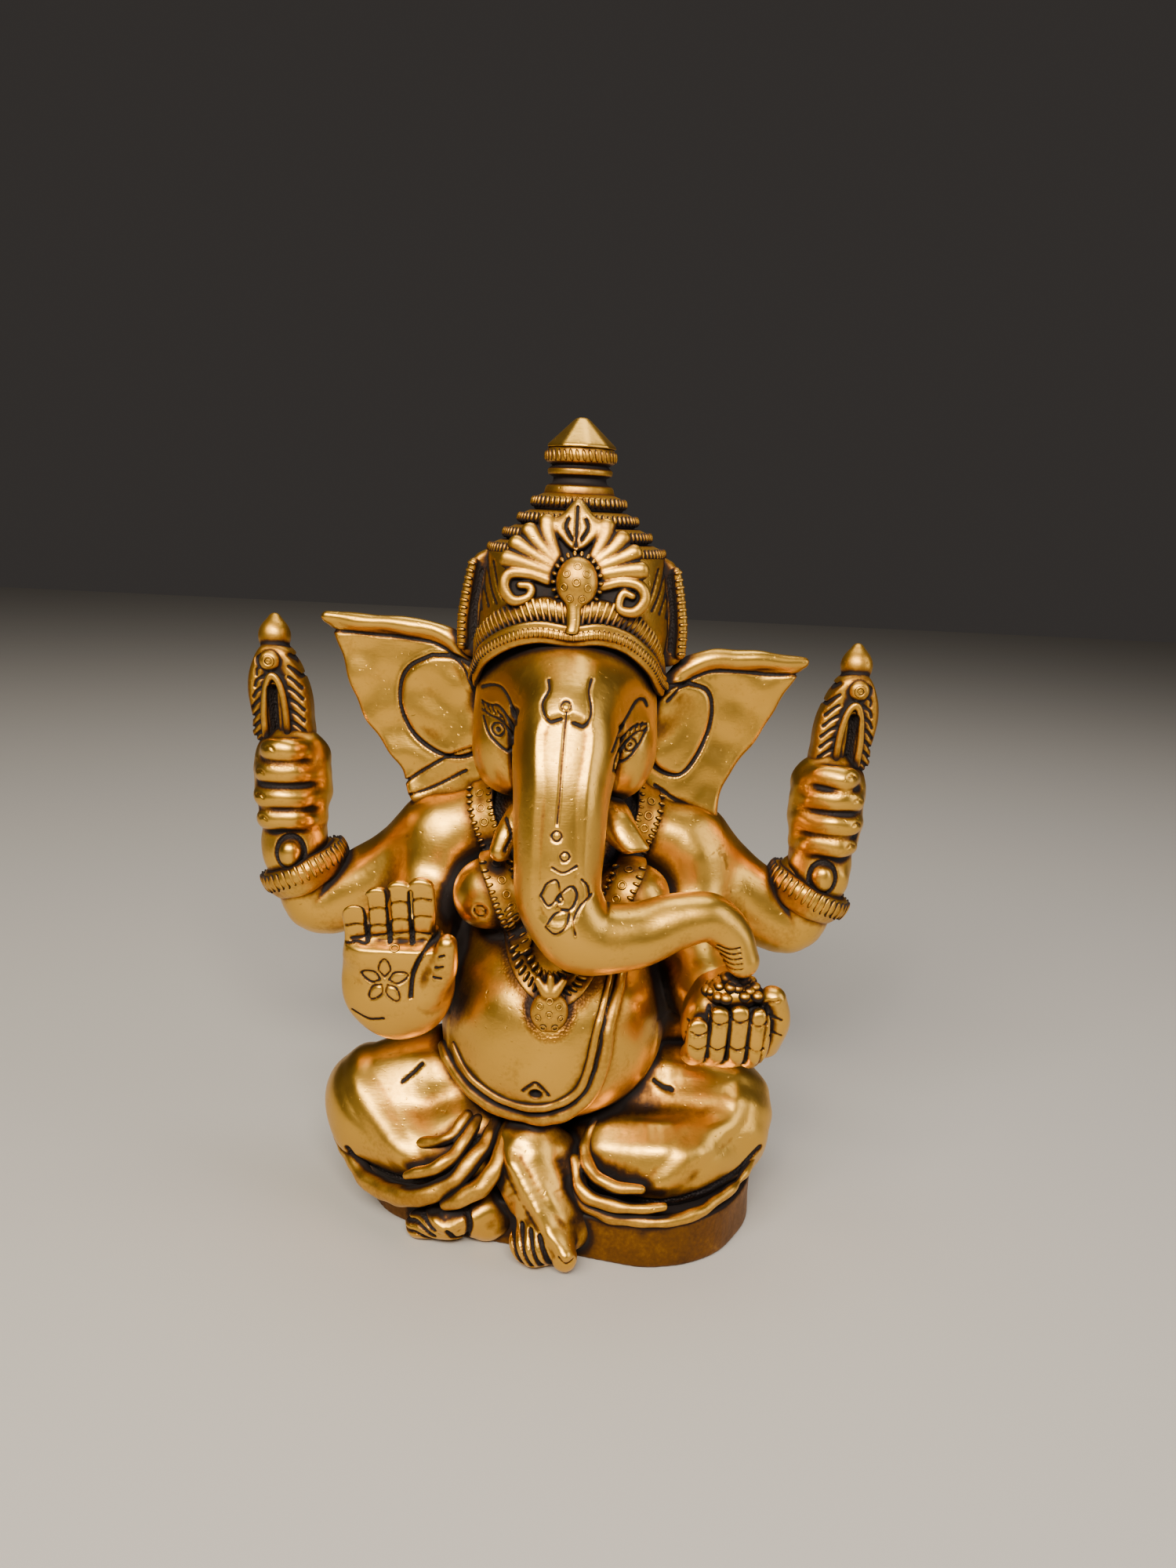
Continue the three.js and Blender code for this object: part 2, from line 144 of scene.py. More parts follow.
# %% Shapes: each is a list of (lowest corner, highest corner, distance function)
def egg(centre, radii, turn=(0, 0, 0)):
    c, r = np.array(centre, np.float32), np.array(radii, np.float32)
    turns = [Matrix.Rotation(math.radians(angle), 3, axis) for angle, axis in zip(turn, "XYZ")]
    axes = np.array(turns[2] @ turns[1] @ turns[0], np.float32)
    reach = np.sqrt(((axes * r) ** 2).sum(1))

    def distance(x, y, z):
        x, y, z = x - c[0], y - c[1], z - c[2]
        near = far = 0
        for i in range(3):
            along = axes[0, i] * x + axes[1, i] * y + axes[2, i] * z
            near = near + (along / r[i]) ** 2
            far = far + (along / r[i] ** 2) ** 2
        near = np.sqrt(near)
        return near * (near - 1) / (np.sqrt(far) + 1e-6)

    return [(c - reach, c + reach, distance)]


def limb(points, radii, flat=(1, 1, 1), steps=6):
    """A round bar along a smooth curve. flat squeezes it along the axes, such as 0.6 for a thin one."""
    p = curve(points, steps)
    r = np.interp(np.linspace(0, 1, len(p)), np.linspace(0, 1, len(radii)), radii)
    if len(radii) > 2:
        blur = np.pad(r, steps, mode="edge")
        r = np.convolve(blur, np.ones(2 * steps + 1) / (2 * steps + 1), "valid")
    f = np.array(flat, float)
    small = f.min()

    def piece(a, b, ra, rb):
        step = (b - a) / f
        length2 = float((step ** 2).sum()) + 1e-9

        def distance(x, y, z):
            x, y, z = (x - a[0]) / f[0], (y - a[1]) / f[1], (z - a[2]) / f[2]
            t = np.clip((x * step[0] + y * step[1] + z * step[2]) / length2, 0, 1)
            d = np.sqrt((x - t * step[0]) ** 2 + (y - t * step[1]) ** 2 + (z - t * step[2]) ** 2)
            return (d - (ra + t * (rb - ra))) * small

        r_most = max(ra, rb) * f
        return np.minimum(a, b) - r_most, np.maximum(a, b) + r_most, distance

    return [piece(p[i], p[i + 1], r[i], r[i + 1]) for i in range(len(p) - 1)]


def from_path(u, v, path):
    """Distance from each place on a flat grid to a path of (u, v) points."""
    best = np.full(np.broadcast(u, v).shape, 1e9, np.float32)
    for a, b in zip(path[:-1], path[1:]):
        s = b - a
        t = np.clip(((u - a[0]) * s[0] + (v - a[1]) * s[1]) / (s @ s + 1e-9), 0, 1)
        best = np.minimum(best, (u - a[0] - t * s[0]) ** 2 + (v - a[1] - t * s[1]) ** 2)
    return np.sqrt(best)


def from_outline(u, v, path):
    """The same for a closed outline, negative inside it."""
    loop = np.vstack([path, path[:1]])
    inside = np.zeros(np.broadcast(u, v).shape, bool)
    for a, b in zip(loop[:-1], loop[1:]):
        crosses = (a[1] > v) != (b[1] > v)
        inside ^= crosses & (u < (b[0] - a[0]) * (v - a[1]) / (b[1] - a[1] + 1e-9) + a[0])
    away = from_path(u, v, loop)
    return np.where(inside, -away, away)


# %% The block of clay itself
# Two drawn axes, then the axis looked along
PLANES = {"front": (0, 2, 1), "side": (1, 2, 0), "top": (0, 1, 2)}


class Clay:
    def __init__(self, low, high, voxel):
        self.voxel = voxel
        self.start = np.floor(np.array(low) / voxel).astype(int)
        self.size = np.ceil(np.array(high) / voxel).astype(int) - self.start + 1
        self.f = np.full(self.size, FAR, np.float32)
        self.stains = []

    def window(self, low, high):
        """The slices of the grid inside a box, and the coordinates there, ready to be broadcast."""
        a = np.clip(np.floor(np.array(low) / self.voxel).astype(int) - self.start, 0, self.size)
        b = np.clip(np.ceil(np.array(high) / self.voxel).astype(int) - self.start + 1, 0, self.size)
        axes = []
        for i in range(3):
            shape = [1, 1, 1]
            shape[i] = -1
            along = (np.arange(a[i], b[i]) + self.start[i]) * self.voxel
            axes.append(along.astype(np.float32).reshape(shape))
        return tuple(slice(i, j) for i, j in zip(a, b)), axes

    def form(self, shapes):
        """The joined distance of a list of shapes, over the window that holds them all."""
        low = np.min([s[0] for s in shapes], 0) - REACH
        high = np.max([s[1] for s in shapes], 0) + REACH
        where, _ = self.window(low, high)
        joined = np.full(self.f[where].shape, FAR, np.float32)
        corner = np.array([w.start for w in where])
        for a, b, distance in shapes:
            part, axes = self.window(a - REACH, b + REACH)
            inner = tuple(slice(s.start - c, s.stop - c) for s, c in zip(part, corner))
            if joined[inner].size:
                joined[inner] = np.minimum(joined[inner], distance(*axes))
        return where, joined

    def add(self, shapes, k=0.0):
        where, form = self.form(shapes)
        self.f[where] = soft_min(self.f[where], form, k)
        return self

    def cut(self, shapes, k=0.0):
        where, form = self.form(shapes)
        self.f[where] = soft_max(self.f[where], -form, k)
        return self

    def slice_off(self, point, normal, k=0.5):
        """Files the clay flat: what lies beyond a plane goes."""
        n = np.array(normal, float) / np.linalg.norm(normal)
        _, (x, y, z) = self.window(self.start * self.voxel, (self.start + self.size) * self.voxel)
        beyond = n[0] * (x - point[0]) + n[1] * (y - point[1]) + n[2] * (z - point[2])
        self.f = soft_max(self.f, beyond.astype(np.float32), k)
        return self

    def press(self, strokes, width, depth, reach, plane="front", stain=0.0, closed=False, steps=6):
        """Engraves lines drawn on a plane, or raises them if depth is negative, within reach along it."""
        u, v, w = PLANES[plane]
        for stroke in strokes:
            path = curve(stroke, steps, closed)
            if closed:
                path = np.vstack([path, path[:1]])
            low, high = np.zeros(3), np.zeros(3)
            low[[u, v]], high[[u, v]] = path.min(0) - width, path.max(0) + width
            low[w], high[w] = reach
            where, axes = self.window(low, high)
            grid = self.f[where]
            if not grid.size:
                continue
            away = from_path(axes[u], axes[v], path)
            profile = np.clip(1 - (away / width) ** 2, 0, 1)
            self.f[where] = grid + depth * profile ** 2
            if stain:
                self.stains.append((plane, path, width * 1.2, stain, reach))
        return self

    def raise_inside(self, outline, height, edge, reach, plane="front"):
        """Lifts the surface inside an outline, with a sloping edge; a negative height sinks it."""
        u, v, w = PLANES[plane]
        path = curve(outline, 5, True)
        low, high = np.zeros(3), np.zeros(3)
        low[[u, v]], high[[u, v]] = path.min(0) - edge, path.max(0) + edge
        low[w], high[w] = reach
        where, axes = self.window(low, high)
        away = from_outline(axes[u], axes[v], path)
        self.f[where] = self.f[where] - height * np.clip(0.5 - away / edge, 0, 1)
        return self

    def stain(self, strokes, width, amount, reach, plane="front"):
        """Remembers where the matting punch and the lacquer went, for the finish."""
        for stroke in strokes:
            self.stains.append((plane, curve(stroke, 5), width, amount, reach))
        return self

    def ripple(self, amount, size, seed):
        """The slow waves that a hand file leaves."""
        rng = np.random.default_rng(seed)
        _, (x, y, z) = self.window(self.start * self.voxel, (self.start + self.size) * self.voxel)
        wave = 0
        for _ in range(5):
            d = rng.normal(size=3)
            d *= 2 * math.pi / (size * rng.uniform(0.7, 1.6) * np.linalg.norm(d))
            across = np.sin(d[0] * x + rng.uniform(0, 6))
            wave = wave + across * np.sin(d[1] * y + d[2] * z + rng.uniform(0, 6))
        self.f = self.f + (amount / 2) * wave.astype(np.float32)
        return self

    def copy(self, field=None):
        twin = Clay.__new__(Clay)
        twin.voxel, twin.start, twin.size = self.voxel, self.start, self.size
        twin.f = self.f.copy() if field is None else field.astype(np.float32)
        twin.stains = list(self.stains)
        return twin

    def band(self, path, half_width, height, reach, k=0.6, plane="front"):
        """A strip laid on this clay's surface along a path, as new clay."""
        u, v, w = PLANES[plane]
        line = curve(path, 8)
        low, high = np.zeros(3), np.zeros(3)
        low[[u, v]], high[[u, v]] = line.min(0) - half_width - 3, line.max(0) + half_width + 3
        low[w], high[w] = reach
        where, axes = self.window(low, high)
        strip = Clay.__new__(Clay)
        strip.voxel = self.voxel
        strip.start = self.start + np.array([s.start for s in where])
        strip.size = np.array([s.stop - s.start for s in where])
        away = from_path(axes[u], axes[v], line) - half_width
        strip.f = soft_max(self.f[where] - height, np.broadcast_to(away, strip.size), k).astype(np.float32)
        strip.f = np.maximum(strip.f, -self.f[where] - 3.0)
        strip.stains = []
        return strip

    def sample(self, points):
        """Distances at any points, read between the grid's numbers."""
        g = points / self.voxel - self.start
        g = np.clip(g, 0, np.array(self.size) - 1.001)
        i = g.astype(int)
        t = (g - i).astype(np.float32)
        out = 0
        for dx in (0, 1):
            for dy in (0, 1):
                for dz in (0, 1):
                    weight = np.abs(1 - dx - t[:, 0]) * np.abs(1 - dy - t[:, 1]) * np.abs(1 - dz - t[:, 2])
                    out = out + weight * self.f[i[:, 0] + dx, i[:, 1] + dy, i[:, 2] + dz]
        return out

    def front(self, flat, lift=0.0):
        """The (x, y, z) points where lines from the front meet the clay. Places that miss are left out."""
        flat = np.array(flat, float)
        i = np.clip(np.rint(flat[:, 0] / self.voxel).astype(int) - self.start[0], 0, self.size[0] - 1)
        k = np.clip(np.rint(flat[:, 1] / self.voxel).astype(int) - self.start[2], 0, self.size[2] - 1)
        column = self.f[i, :, k] < lift
        j = column.argmax(1)
        hit = column.any(1)
        return np.column_stack([flat[:, 0], (j + self.start[1] - 0.5) * self.voxel, flat[:, 1]])[hit]


print("clay ready")

# %% [markdown]
# ## The finish
# Brass, filed and buffed: a yellow metal with fine scratches and small casting pits. Brown lacquer
# lies in the hollows, thin and amber at their edges, nearly black at the bottom; the same darkening is
# also painted shade, deepest where metal shuts the surface in. The chased parts keep more of it, and the
# plinth was hardly buffed at all.

# %% Brass, lacquer and painted shade
def linear(code):
    """A hex colour as Blender's linear values."""
    parts = [int(code[i:i + 2], 16) / 255 for i in (1, 3, 5)]
    return (*[c / 12.92 if c <= 0.04045 else ((c + 0.055) / 1.055) ** 2.4 for c in parts], 1)


def node(tree, kind, **given):
    """Adds a shader node. Given inputs are sockets to link from, or values; other names are its settings."""
    new = tree.nodes.new(kind)
    for name, value in given.items():
        key = int(name[1:]) if name[0] == "i" and name[1:].isdigit() else name.replace("_", " ")
        if isinstance(key, int) or key in new.inputs:
            if isinstance(value, bpy.types.NodeSocket):
                tree.links.new(value, new.inputs[key])
            else:
                new.inputs[key].default_value = value
        else:
            setattr(new, name, value)
    return new


def maths(tree, operation, *values, clamp=False):
    given = {f"i{n}": v for n, v in enumerate(values)}
    return node(tree, "ShaderNodeMath", operation=operation, use_clamp=clamp, **given).outputs[0]


def ramp(tree, factor, stops):
    new = node(tree, "ShaderNodeValToRGB", Fac=factor)
    while len(new.color_ramp.elements) < len(stops):
        new.color_ramp.elements.new(0.5)
    for element, (at, code) in zip(new.color_ramp.elements, stops):
        element.position = at
        element.color = linear(code)
    return new.outputs["Color"]


def noise(tree, where, size_mm, detail=2.0):
    made = node(tree, "ShaderNodeTexNoise", Vector=where, Scale=1 / (size_mm * MM), Detail=detail)
    return made.outputs[0]


def brass(name, lacquer, rough):
    """Brass darkened by the hollow attribute: lacquer in its hollows, and painted shade where metal shuts the
    surface in. lacquer shifts how much is left, rough is the buffed surface's.
    """
    material = bpy.data.materials.new(name)
    material.use_nodes = True
    tree = material.node_tree
    tree.nodes.clear()
    place = node(tree, "ShaderNodeTexCoord").outputs["Object"]
    hollow = node(tree, "ShaderNodeAttribute", attribute_name="hollow").outputs["Fac"]
    matted = node(tree, "ShaderNodeAttribute", attribute_name="matted").outputs["Fac"]
    cloudy = maths(tree, "SUBTRACT", noise(tree, place, 7, 3), 0.5)
    speckled = maths(tree, "SUBTRACT", noise(tree, place, 0.7, 3), 0.5)
    # painted shade and lacquer: hollow darkens the colour from yellow to near black, lowers metallic and
    # raises roughness where metal shuts the surface in
    amount = maths(tree, "ADD", hollow, maths(tree, "MULTIPLY", cloudy, 0.35))
    amount = maths(tree, "ADD", amount, maths(tree, "MULTIPLY", speckled, 0.22))
    amount = maths(tree, "ADD", amount, lacquer, clamp=True)
    colour = ramp(tree, amount, [(0.03, "#E3AE45"), (0.2, "#B37F2A"), (0.38, "#784D1B"), (0.58, "#38200D"),
                                 (0.82, "#160B07")])
    metallic = maths(tree, "SUBTRACT", 1.0, maths(tree, "MULTIPLY", maths(tree, "POWER", amount, 2.0), 0.7))
    dull = maths(tree, "ADD", maths(tree, "MULTIPLY", amount, 0.42), rough)
    dull = maths(tree, "ADD", dull, maths(tree, "MULTIPLY", cloudy, 0.12), clamp=True)
    across = node(tree, "ShaderNodeMapping", Vector=place, Scale=(0.12, 1, 1), Rotation=(0.3, 0.5, 0.4))
    scratches = noise(tree, across.outputs[0], 0.3, 2)
    waves = noise(tree, place, 1.6, 2)
    punch = node(tree, "ShaderNodeTexVoronoi", Vector=place, Scale=1 / (0.55 * MM))
    stipple = maths(tree, "MULTIPLY", punch.outputs["Distance"], matted)
    pits = maths(tree, "SUBTRACT", 0.3, noise(tree, place, 0.8, 1), clamp=True)
    fine = node(tree, "ShaderNodeBump", Height=scratches, Strength=0.3, Distance=0.05 * MM)
    holed = node(tree, "ShaderNodeBump", Height=pits, Strength=0.5, Distance=-0.8 * MM,
                 Normal=fine.outputs[0])
    soft = node(tree, "ShaderNodeBump", Height=waves, Strength=0.4, Distance=0.1 * MM,
                Normal=holed.outputs[0])
    deep = node(tree, "ShaderNodeBump", Height=stipple, Strength=0.9, Distance=0.45 * MM,
                Normal=soft.outputs[0])
    surface = node(tree, "ShaderNodeBsdfPrincipled", Base_Color=colour, Metallic=metallic, Roughness=dull,
                   Normal=deep.outputs[0])
    node(tree, "ShaderNodeOutputMaterial", Surface=surface.outputs[0])
    return material


FINISHES = {
    "polished_brass": brass("buffed brass", 0.0, 0.33),
    "chased_brass": brass("chased brass", 0.12, 0.36),
    "cast_brass": brass("lacquered brass", 0.4, 0.34),
}
print("finishes", list(FINISHES))

# %% [markdown]
# ## From clay to mesh, and what the lacquer and the painted shade remember
# Each finished block is meshed, and each vertex gets two numbers. `hollow` is how much the surface
# there is shut in by metal, near it and across the whole figure, so it says where brown lacquer stays
# and where shade is painted into the colour. `matted` is where the ground was stippled with a punch.
# The materials read both.

# %% One coarse grid of the whole figure, for the shade between pieces
ROOM = Clay((-68, -42, -4), (68, 36, 154), 0.8)
PIECES = {}  # name: (object, own hollow at each vertex)


def remember(clay):
    """Adds a block of clay to the coarse grid of the whole figure."""
    where, axes = ROOM.window(clay.start * clay.voxel, (clay.start + clay.size - 1) * clay.voxel)
    index = [np.clip(np.rint(a.ravel() / clay.voxel).astype(int) - s, 0, n - 1)
             for a, s, n in zip(axes, clay.start, clay.size)]
    ROOM.f[where] = np.minimum(ROOM.f[where], clay.f[np.ix_(*index)])


# painted shade and lacquer: a piece's own creases darken its colour by these amounts
OWN_HOLLOWS = ((0.5, 2.8), (1.3, 2.4))  # how far off metal is felt, and how much that darkens
ON_THE_WHOLE = 0.12  # a cut piece's vertex this near the uncut clay takes its normal from there
MATTED_SHADE = 0.75
SLOPE_STEP = 0.35
SIDES = np.array([(1, 0, 0), (-1, 0, 0), (0, 1, 0), (0, -1, 0), (0, 0, 1), (0, 0, -1)], np.float32)


def shut_in(clay, points, near):
    """Above 0 where there is more metal than a flat surface would have within `near` of a point."""
    total = sum(clay.sample(points + side * near) for side in SIDES)
    return -total / (6 * near)


def paint(obj, name, values):
    layer = obj.data.attributes.get(name) or obj.data.attributes.new(name, "FLOAT", "POINT")
    layer.data.foreach_set("value", np.ascontiguousarray(values, dtype=np.float32))


def mesh_object(name, points, quads):
    mesh = bpy.data.meshes.new(name)
    mesh.vertices.add(len(points))
    mesh.vertices.foreach_set("co", np.ascontiguousarray(points, dtype=np.float32).ravel())
    mesh.loops.add(quads.size)
    mesh.loops.foreach_set("vertex_index", np.ascontiguousarray(quads, dtype=np.int32).ravel())
    mesh.polygons.add(len(quads))
    mesh.polygons.foreach_set("loop_start", np.arange(0, quads.size, 4, dtype=np.int32))
    mesh.update(calc_edges=True)
    mesh.validate()
    mesh.shade_smooth()
    obj = bpy.data.objects.new(name, mesh)
    bpy.context.collection.objects.link(obj)
    return obj


def stained(clay, points):
    matted = np.zeros(len(points), np.float32)
    for plane, path, width, amount, reach in clay.stains:
        u, v, w = PLANES[plane]
        near = ((points[:, u] > path[:, 0].min() - width) & (points[:, u] < path[:, 0].max() + width)
                & (points[:, v] > path[:, 1].min() - width) & (points[:, v] < path[:, 1].max() + width)
                & (points[:, w] > reach[0]) & (points[:, w] < reach[1]))
        if near.any():
            away = from_path(points[near, u], points[near, v], path)
            matted[near] = np.maximum(matted[near], amount * np.clip(1.6 - 1.6 * away / width, 0, 1))
    return matted


MOST_TRIANGLES = 110000
KEPT_SHARE = 0.5  # of the triangles that come from the grid, flat places first to go


def thinned(obj, share):
    """The same mesh with fewer triangles, taken where the surface is flattest."""
    reduce = obj.modifiers.new("thin", "DECIMATE")
    reduce.ratio = share
    mesh = bpy.data.meshes.new_from_object(obj.evaluated_get(bpy.context.evaluated_depsgraph_get()))
    obj.modifiers.clear()
    old, obj.data = obj.data, mesh
    bpy.data.meshes.remove(old)
    mesh.name = obj.name


def slope(clay, points):
    """The way out of the metal at each point, from the clay itself, so that highlights run smoothly."""
    ways = [clay.sample(points + side * SLOPE_STEP) - clay.sample(points - side * SLOPE_STEP)
            for side in SIDES[::2]]
    out = np.column_stack(ways)
    return out / (np.linalg.norm(out, axis=1, keepdims=True) + 1e-9)


def corners(obj):
    flat = np.empty(len(obj.data.vertices) * 3, np.float32)
    obj.data.vertices.foreach_get("co", flat)
    return flat.reshape(-1, 3) / MM - MIDDLE


def cast(clay, name, slot, *nodes, whole=None, most=MOST_TRIANGLES):
    """Meshes a block of clay as a finished piece for CAD nodes. whole is the clay it was cut from."""
    f = clay.f
    for axis in range(3):
        edge = [slice(None)] * 3
        for end in (0, -1):
            edge[axis] = end
            f[tuple(edge)] = np.maximum(f[tuple(edge)], clay.voxel)
    grid = openvdb.FloatGrid(FAR)
    grid.copyFromArray(np.minimum(f, FAR))
    index, quads = grid.convertToQuads(0.0)
    obj = mesh_object(name.replace("_", "-"), ((index + clay.start) * clay.voxel + MIDDLE) * MM, quads)
    thinned(obj, min(KEPT_SHARE, most / (len(quads) * 2)))
    points = corners(obj)
    source = whole or clay
    smooth = slope(clay, points)
    if whole is not None:
        outer = np.abs(whole.sample(points)) < ON_THE_WHOLE
        smooth[outer] = slope(whole, points[outer])
    obj.data.normals_split_custom_set_from_vertices(smooth)
    # painted shade and lacquer in the piece's own creases, from how much metal lies close round each vertex
    own = sum(strength * shut_in(source, points, near) for near, strength in OWN_HOLLOWS)
    matted = stained(source, points)
    paint(obj, "matted", matted)
    paint(obj, "hollow", own)
    finish_piece(obj, slot, nodes or (name,))
    remember(clay)
    PIECES[name] = (obj, np.maximum(own, MATTED_SHADE * matted))
    print(f"{name}: {sum(len(p.vertices) - 2 for p in obj.data.polygons)} triangles")
    return obj


def split(clay, parts, overlap=0.5):
    """Shares one block of clay between parts, each given by its own bare distance over the block."""
    out = {}
    for name, near in parts.items():
        others = np.minimum.reduce([f for n, f in parts.items() if n != name])
        out[name] = clay.copy(np.maximum(clay.f, (near - others) / 2 - overlap))
    return out


def spread(clay, shapes):
    """The bare distance of some shapes over a whole block."""
    field = np.full(clay.f.shape, FAR, np.float32)
    where, form = clay.form(shapes)
    field[where] = form
    return field


def finish_piece(obj, slot, nodes):
    obj.data.materials.clear()
    obj.data.materials.append(FINISHES[slot])
    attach(obj, "root")
    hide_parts(*nodes)


# %% [markdown]
# ## The plinth
# A kidney-shaped block with a straight wall. Its front edge steps in between the feet and the left
# shin, and the lip is crisp.

# %% Plinth
PLINTH_TOP = 9.0
PLINTH_RIM = [
    (-37.5, -5), (-33.5, -15), (-26.5, -22), (-17, -25.5), (-8, -27.5), (0, -28.5), (8, -31), (20, -33),
    (31, -28.5), (38.5, -17), (39.5, -4), (34, 12), (20, 21), (0, 24), (-20, 21), (-34, 12),
]


def make_plinth():
    box = ((-43, -38, -1), (43, 28, 12))
    clay = Clay(*box, 0.4)
    _, (x, y, z) = clay.window(*box)
    wall = from_outline(x[:, :, 0], y[:, :, 0], curve(PLINTH_RIM, 6, True))[:, :, None]
    hollow = np.sqrt((x / 32) ** 2 + ((y + 4) / 21) ** 2) * 24 - 24
    body = soft_max(wall + 0.5 * (z < 0), np.abs(z - PLINTH_TOP / 2) - PLINTH_TOP / 2, 0.8)
    clay.f = soft_max(body, -np.maximum(hollow, z - 6.2), 0.8).astype(np.float32)
    clay.ripple(0.12, 9, 3)
    clay.slice_off((0, 0, 0.1), (0, 0, -1), 0.2)
    cast(clay, "plinth", "cast_brass")


make_plinth()

# %% [markdown]
# ## Body and arms
# Belly, chest, shoulders and all four arms are modelled as one lump, so they flow into each other, and
# are then shared out between the torso and each arm.

# %% Body shapes
def punched_ring(x, z, r):
    """The mark of a small ring punch, drawn from the front."""
    return [(x + r * math.cos(a), z + r * math.sin(a)) for a in np.linspace(0, 5.2, 6)]


def arm_shapes(side, x):
    path = [(26, 5, 68), (36, 6, 60), (x - 7, 6, 54.5), (x - 4, 5.5, 62)]
    return limb([(side * a, b, c) for a, b, c in path], [8.4, 7.4, 7.4, 6.4])


FOREARMS = {
    "right_forearm": limb([(-24, 2, 67), (-26.5, -6, 57), (-28, -18, 50)], [7.4, 6.4, 6.6]),
    "left_forearm": limb([(25, 2, 66), (26, -4, 54), (27.5, -12, 47), (30, -18, 44.5)], [7.4, 7.4, 6.6, 6.2]),
}


def make_body():
    clay = Clay((-62, -36, 8), (62, 32, 88), 0.34)
    trunk_of_body = (egg((0, 1, 61), (19, 14, 15)) + egg((0, 5, 56), (20.5, 14, 22))
                     + limb([(-22, 3, 71), (0, 3, 77), (22, 3, 71)], [8.2, 9.5, 8.2]))
    clay.add(trunk_of_body)
    clay.add(egg((0, 5, 22), (25.5, 17.5, 14)), 9)
    clay.add(egg((0, 2, 52), (22.4, 15, 15)), 4)
    clay.add(egg((-0.4, -6, 41), (21.8, 23.5, 17.5)), 5)
    clay.add(egg((-0.8, -8.8, 32.6), (19.6, 20.4, 12.4)), 5)
    clay.add(egg((24, -1, 44), (7, 10, 14)), 4)
    clay.add(limb([(0, 1, 74), (0, 0, 88)], [12, 12]), 5)
    clay.add(egg((-13, -12.2, 63.5), (7.2, 6.8, 6.8)) + egg((13, -12.2, 63.5), (7.2, 6.8, 6.8)), 1.8)
    parts = {"torso": clay.f.copy()}
    arms = {"right_back_arm": arm_shapes(-1, 55), "left_back_arm": arm_shapes(1, 53)}
    for name, shapes in arms.items():
        clay.add(shapes, 6)
        parts[name] = spread(clay, shapes)
    for name, shapes in FOREARMS.items():
        clay.add(shapes, 3.5)
        parts[name] = spread(clay, shapes)
    navel = [[(-5.3, 32.2), (-4.2, 33.4), (-3.1, 34.2), (-1.9, 33.2), (-0.7, 31.8)]]
    clay.press(navel, 0.5, 0.45, (-40, -20), stain=0.2)
    clay.cut(egg((-3.0, -29.4, 31.8), (1.1, 1.8, 0.9)), 0.8)
    clay.ripple(0.16, 8, 5)
    clay.stain([[(-21, 30.5), (-10, 24.5), (0, 23.4), (10, 24.4), (21, 30)]], 2.6, 0.9, (-40, -6))
    clay.stain([[(-12, 60), (-9, 53), (-3, 48.6), (3, 48.6), (8, 52), (11, 58)]], 2.0, 0.25, (-40, -10))
    halo = [(-1.2 + 4 * math.cos(a), 47 + 4.6 * math.sin(a)) for a in np.linspace(0, 2 * math.pi, 12)]
    clay.stain([halo], 1.1, 0.4, (-40, -10))
    for r in (0.5, 1.1):
        clay.press([punched_ring(-14.6, 61.9, r)], 0.34, 0.45, (-30, -8), closed=True)
    clay.stain([[(-13, 82), (-10, 70), (-7, 58)], [(13, 82), (10, 70), (7, 58)],
                [(-6, 74), (0, 62), (6, 74)]], 4, 0.5, (-40, -4))
    return clay, parts


BODY, BODY_PARTS = make_body()
SHARES = split(BODY, BODY_PARTS)
for part_name in ("torso", "right_back_arm", "left_back_arm", "right_forearm", "left_forearm"):
    cast(SHARES[part_name], part_name, "polished_brass", whole=BODY)

# %% [markdown]
# ## Legs, feet and the wrap
# The legs are folded flat, a filed ridge running from each knee to the shin. The right foot comes
# forward over the plinth's edge and the left foot lies sideways beside it.

# %% Legs
def make_leg(side, forms, ridge, notch, groove):
    clay = Clay(*sorted_box(side, (-2, -40, 5), (52, 26, 40)), 0.32)
    for shapes, k in forms:
        clay.add(shapes, k)
    clay.press([ridge], 3.4, -0.7, (-40, 0))
    clay.press([notch], 0.48, 0.5, (-32, -4), stain=0.25)
    clay.press([groove], 0.9, 0.7, (-40, 0), stain=0.9)
    clay.stain([[(side * a, b) for a, b in ((2, 21), (7, 25), (14, 29.4), (20, 33.6))]], 1.8, 0.8, (-30, 0))
    clay.ripple(0.24, 8, 11)
    clay.slice_off((0, 0, PLINTH_TOP - 0.6), (0, 0, -1), 0.4)
    return clay


def sorted_box(side, low, high):
    a, b = sorted([side * low[0], side * high[0]])
    return (a, low[1], low[2]), (b, high[1], high[2])


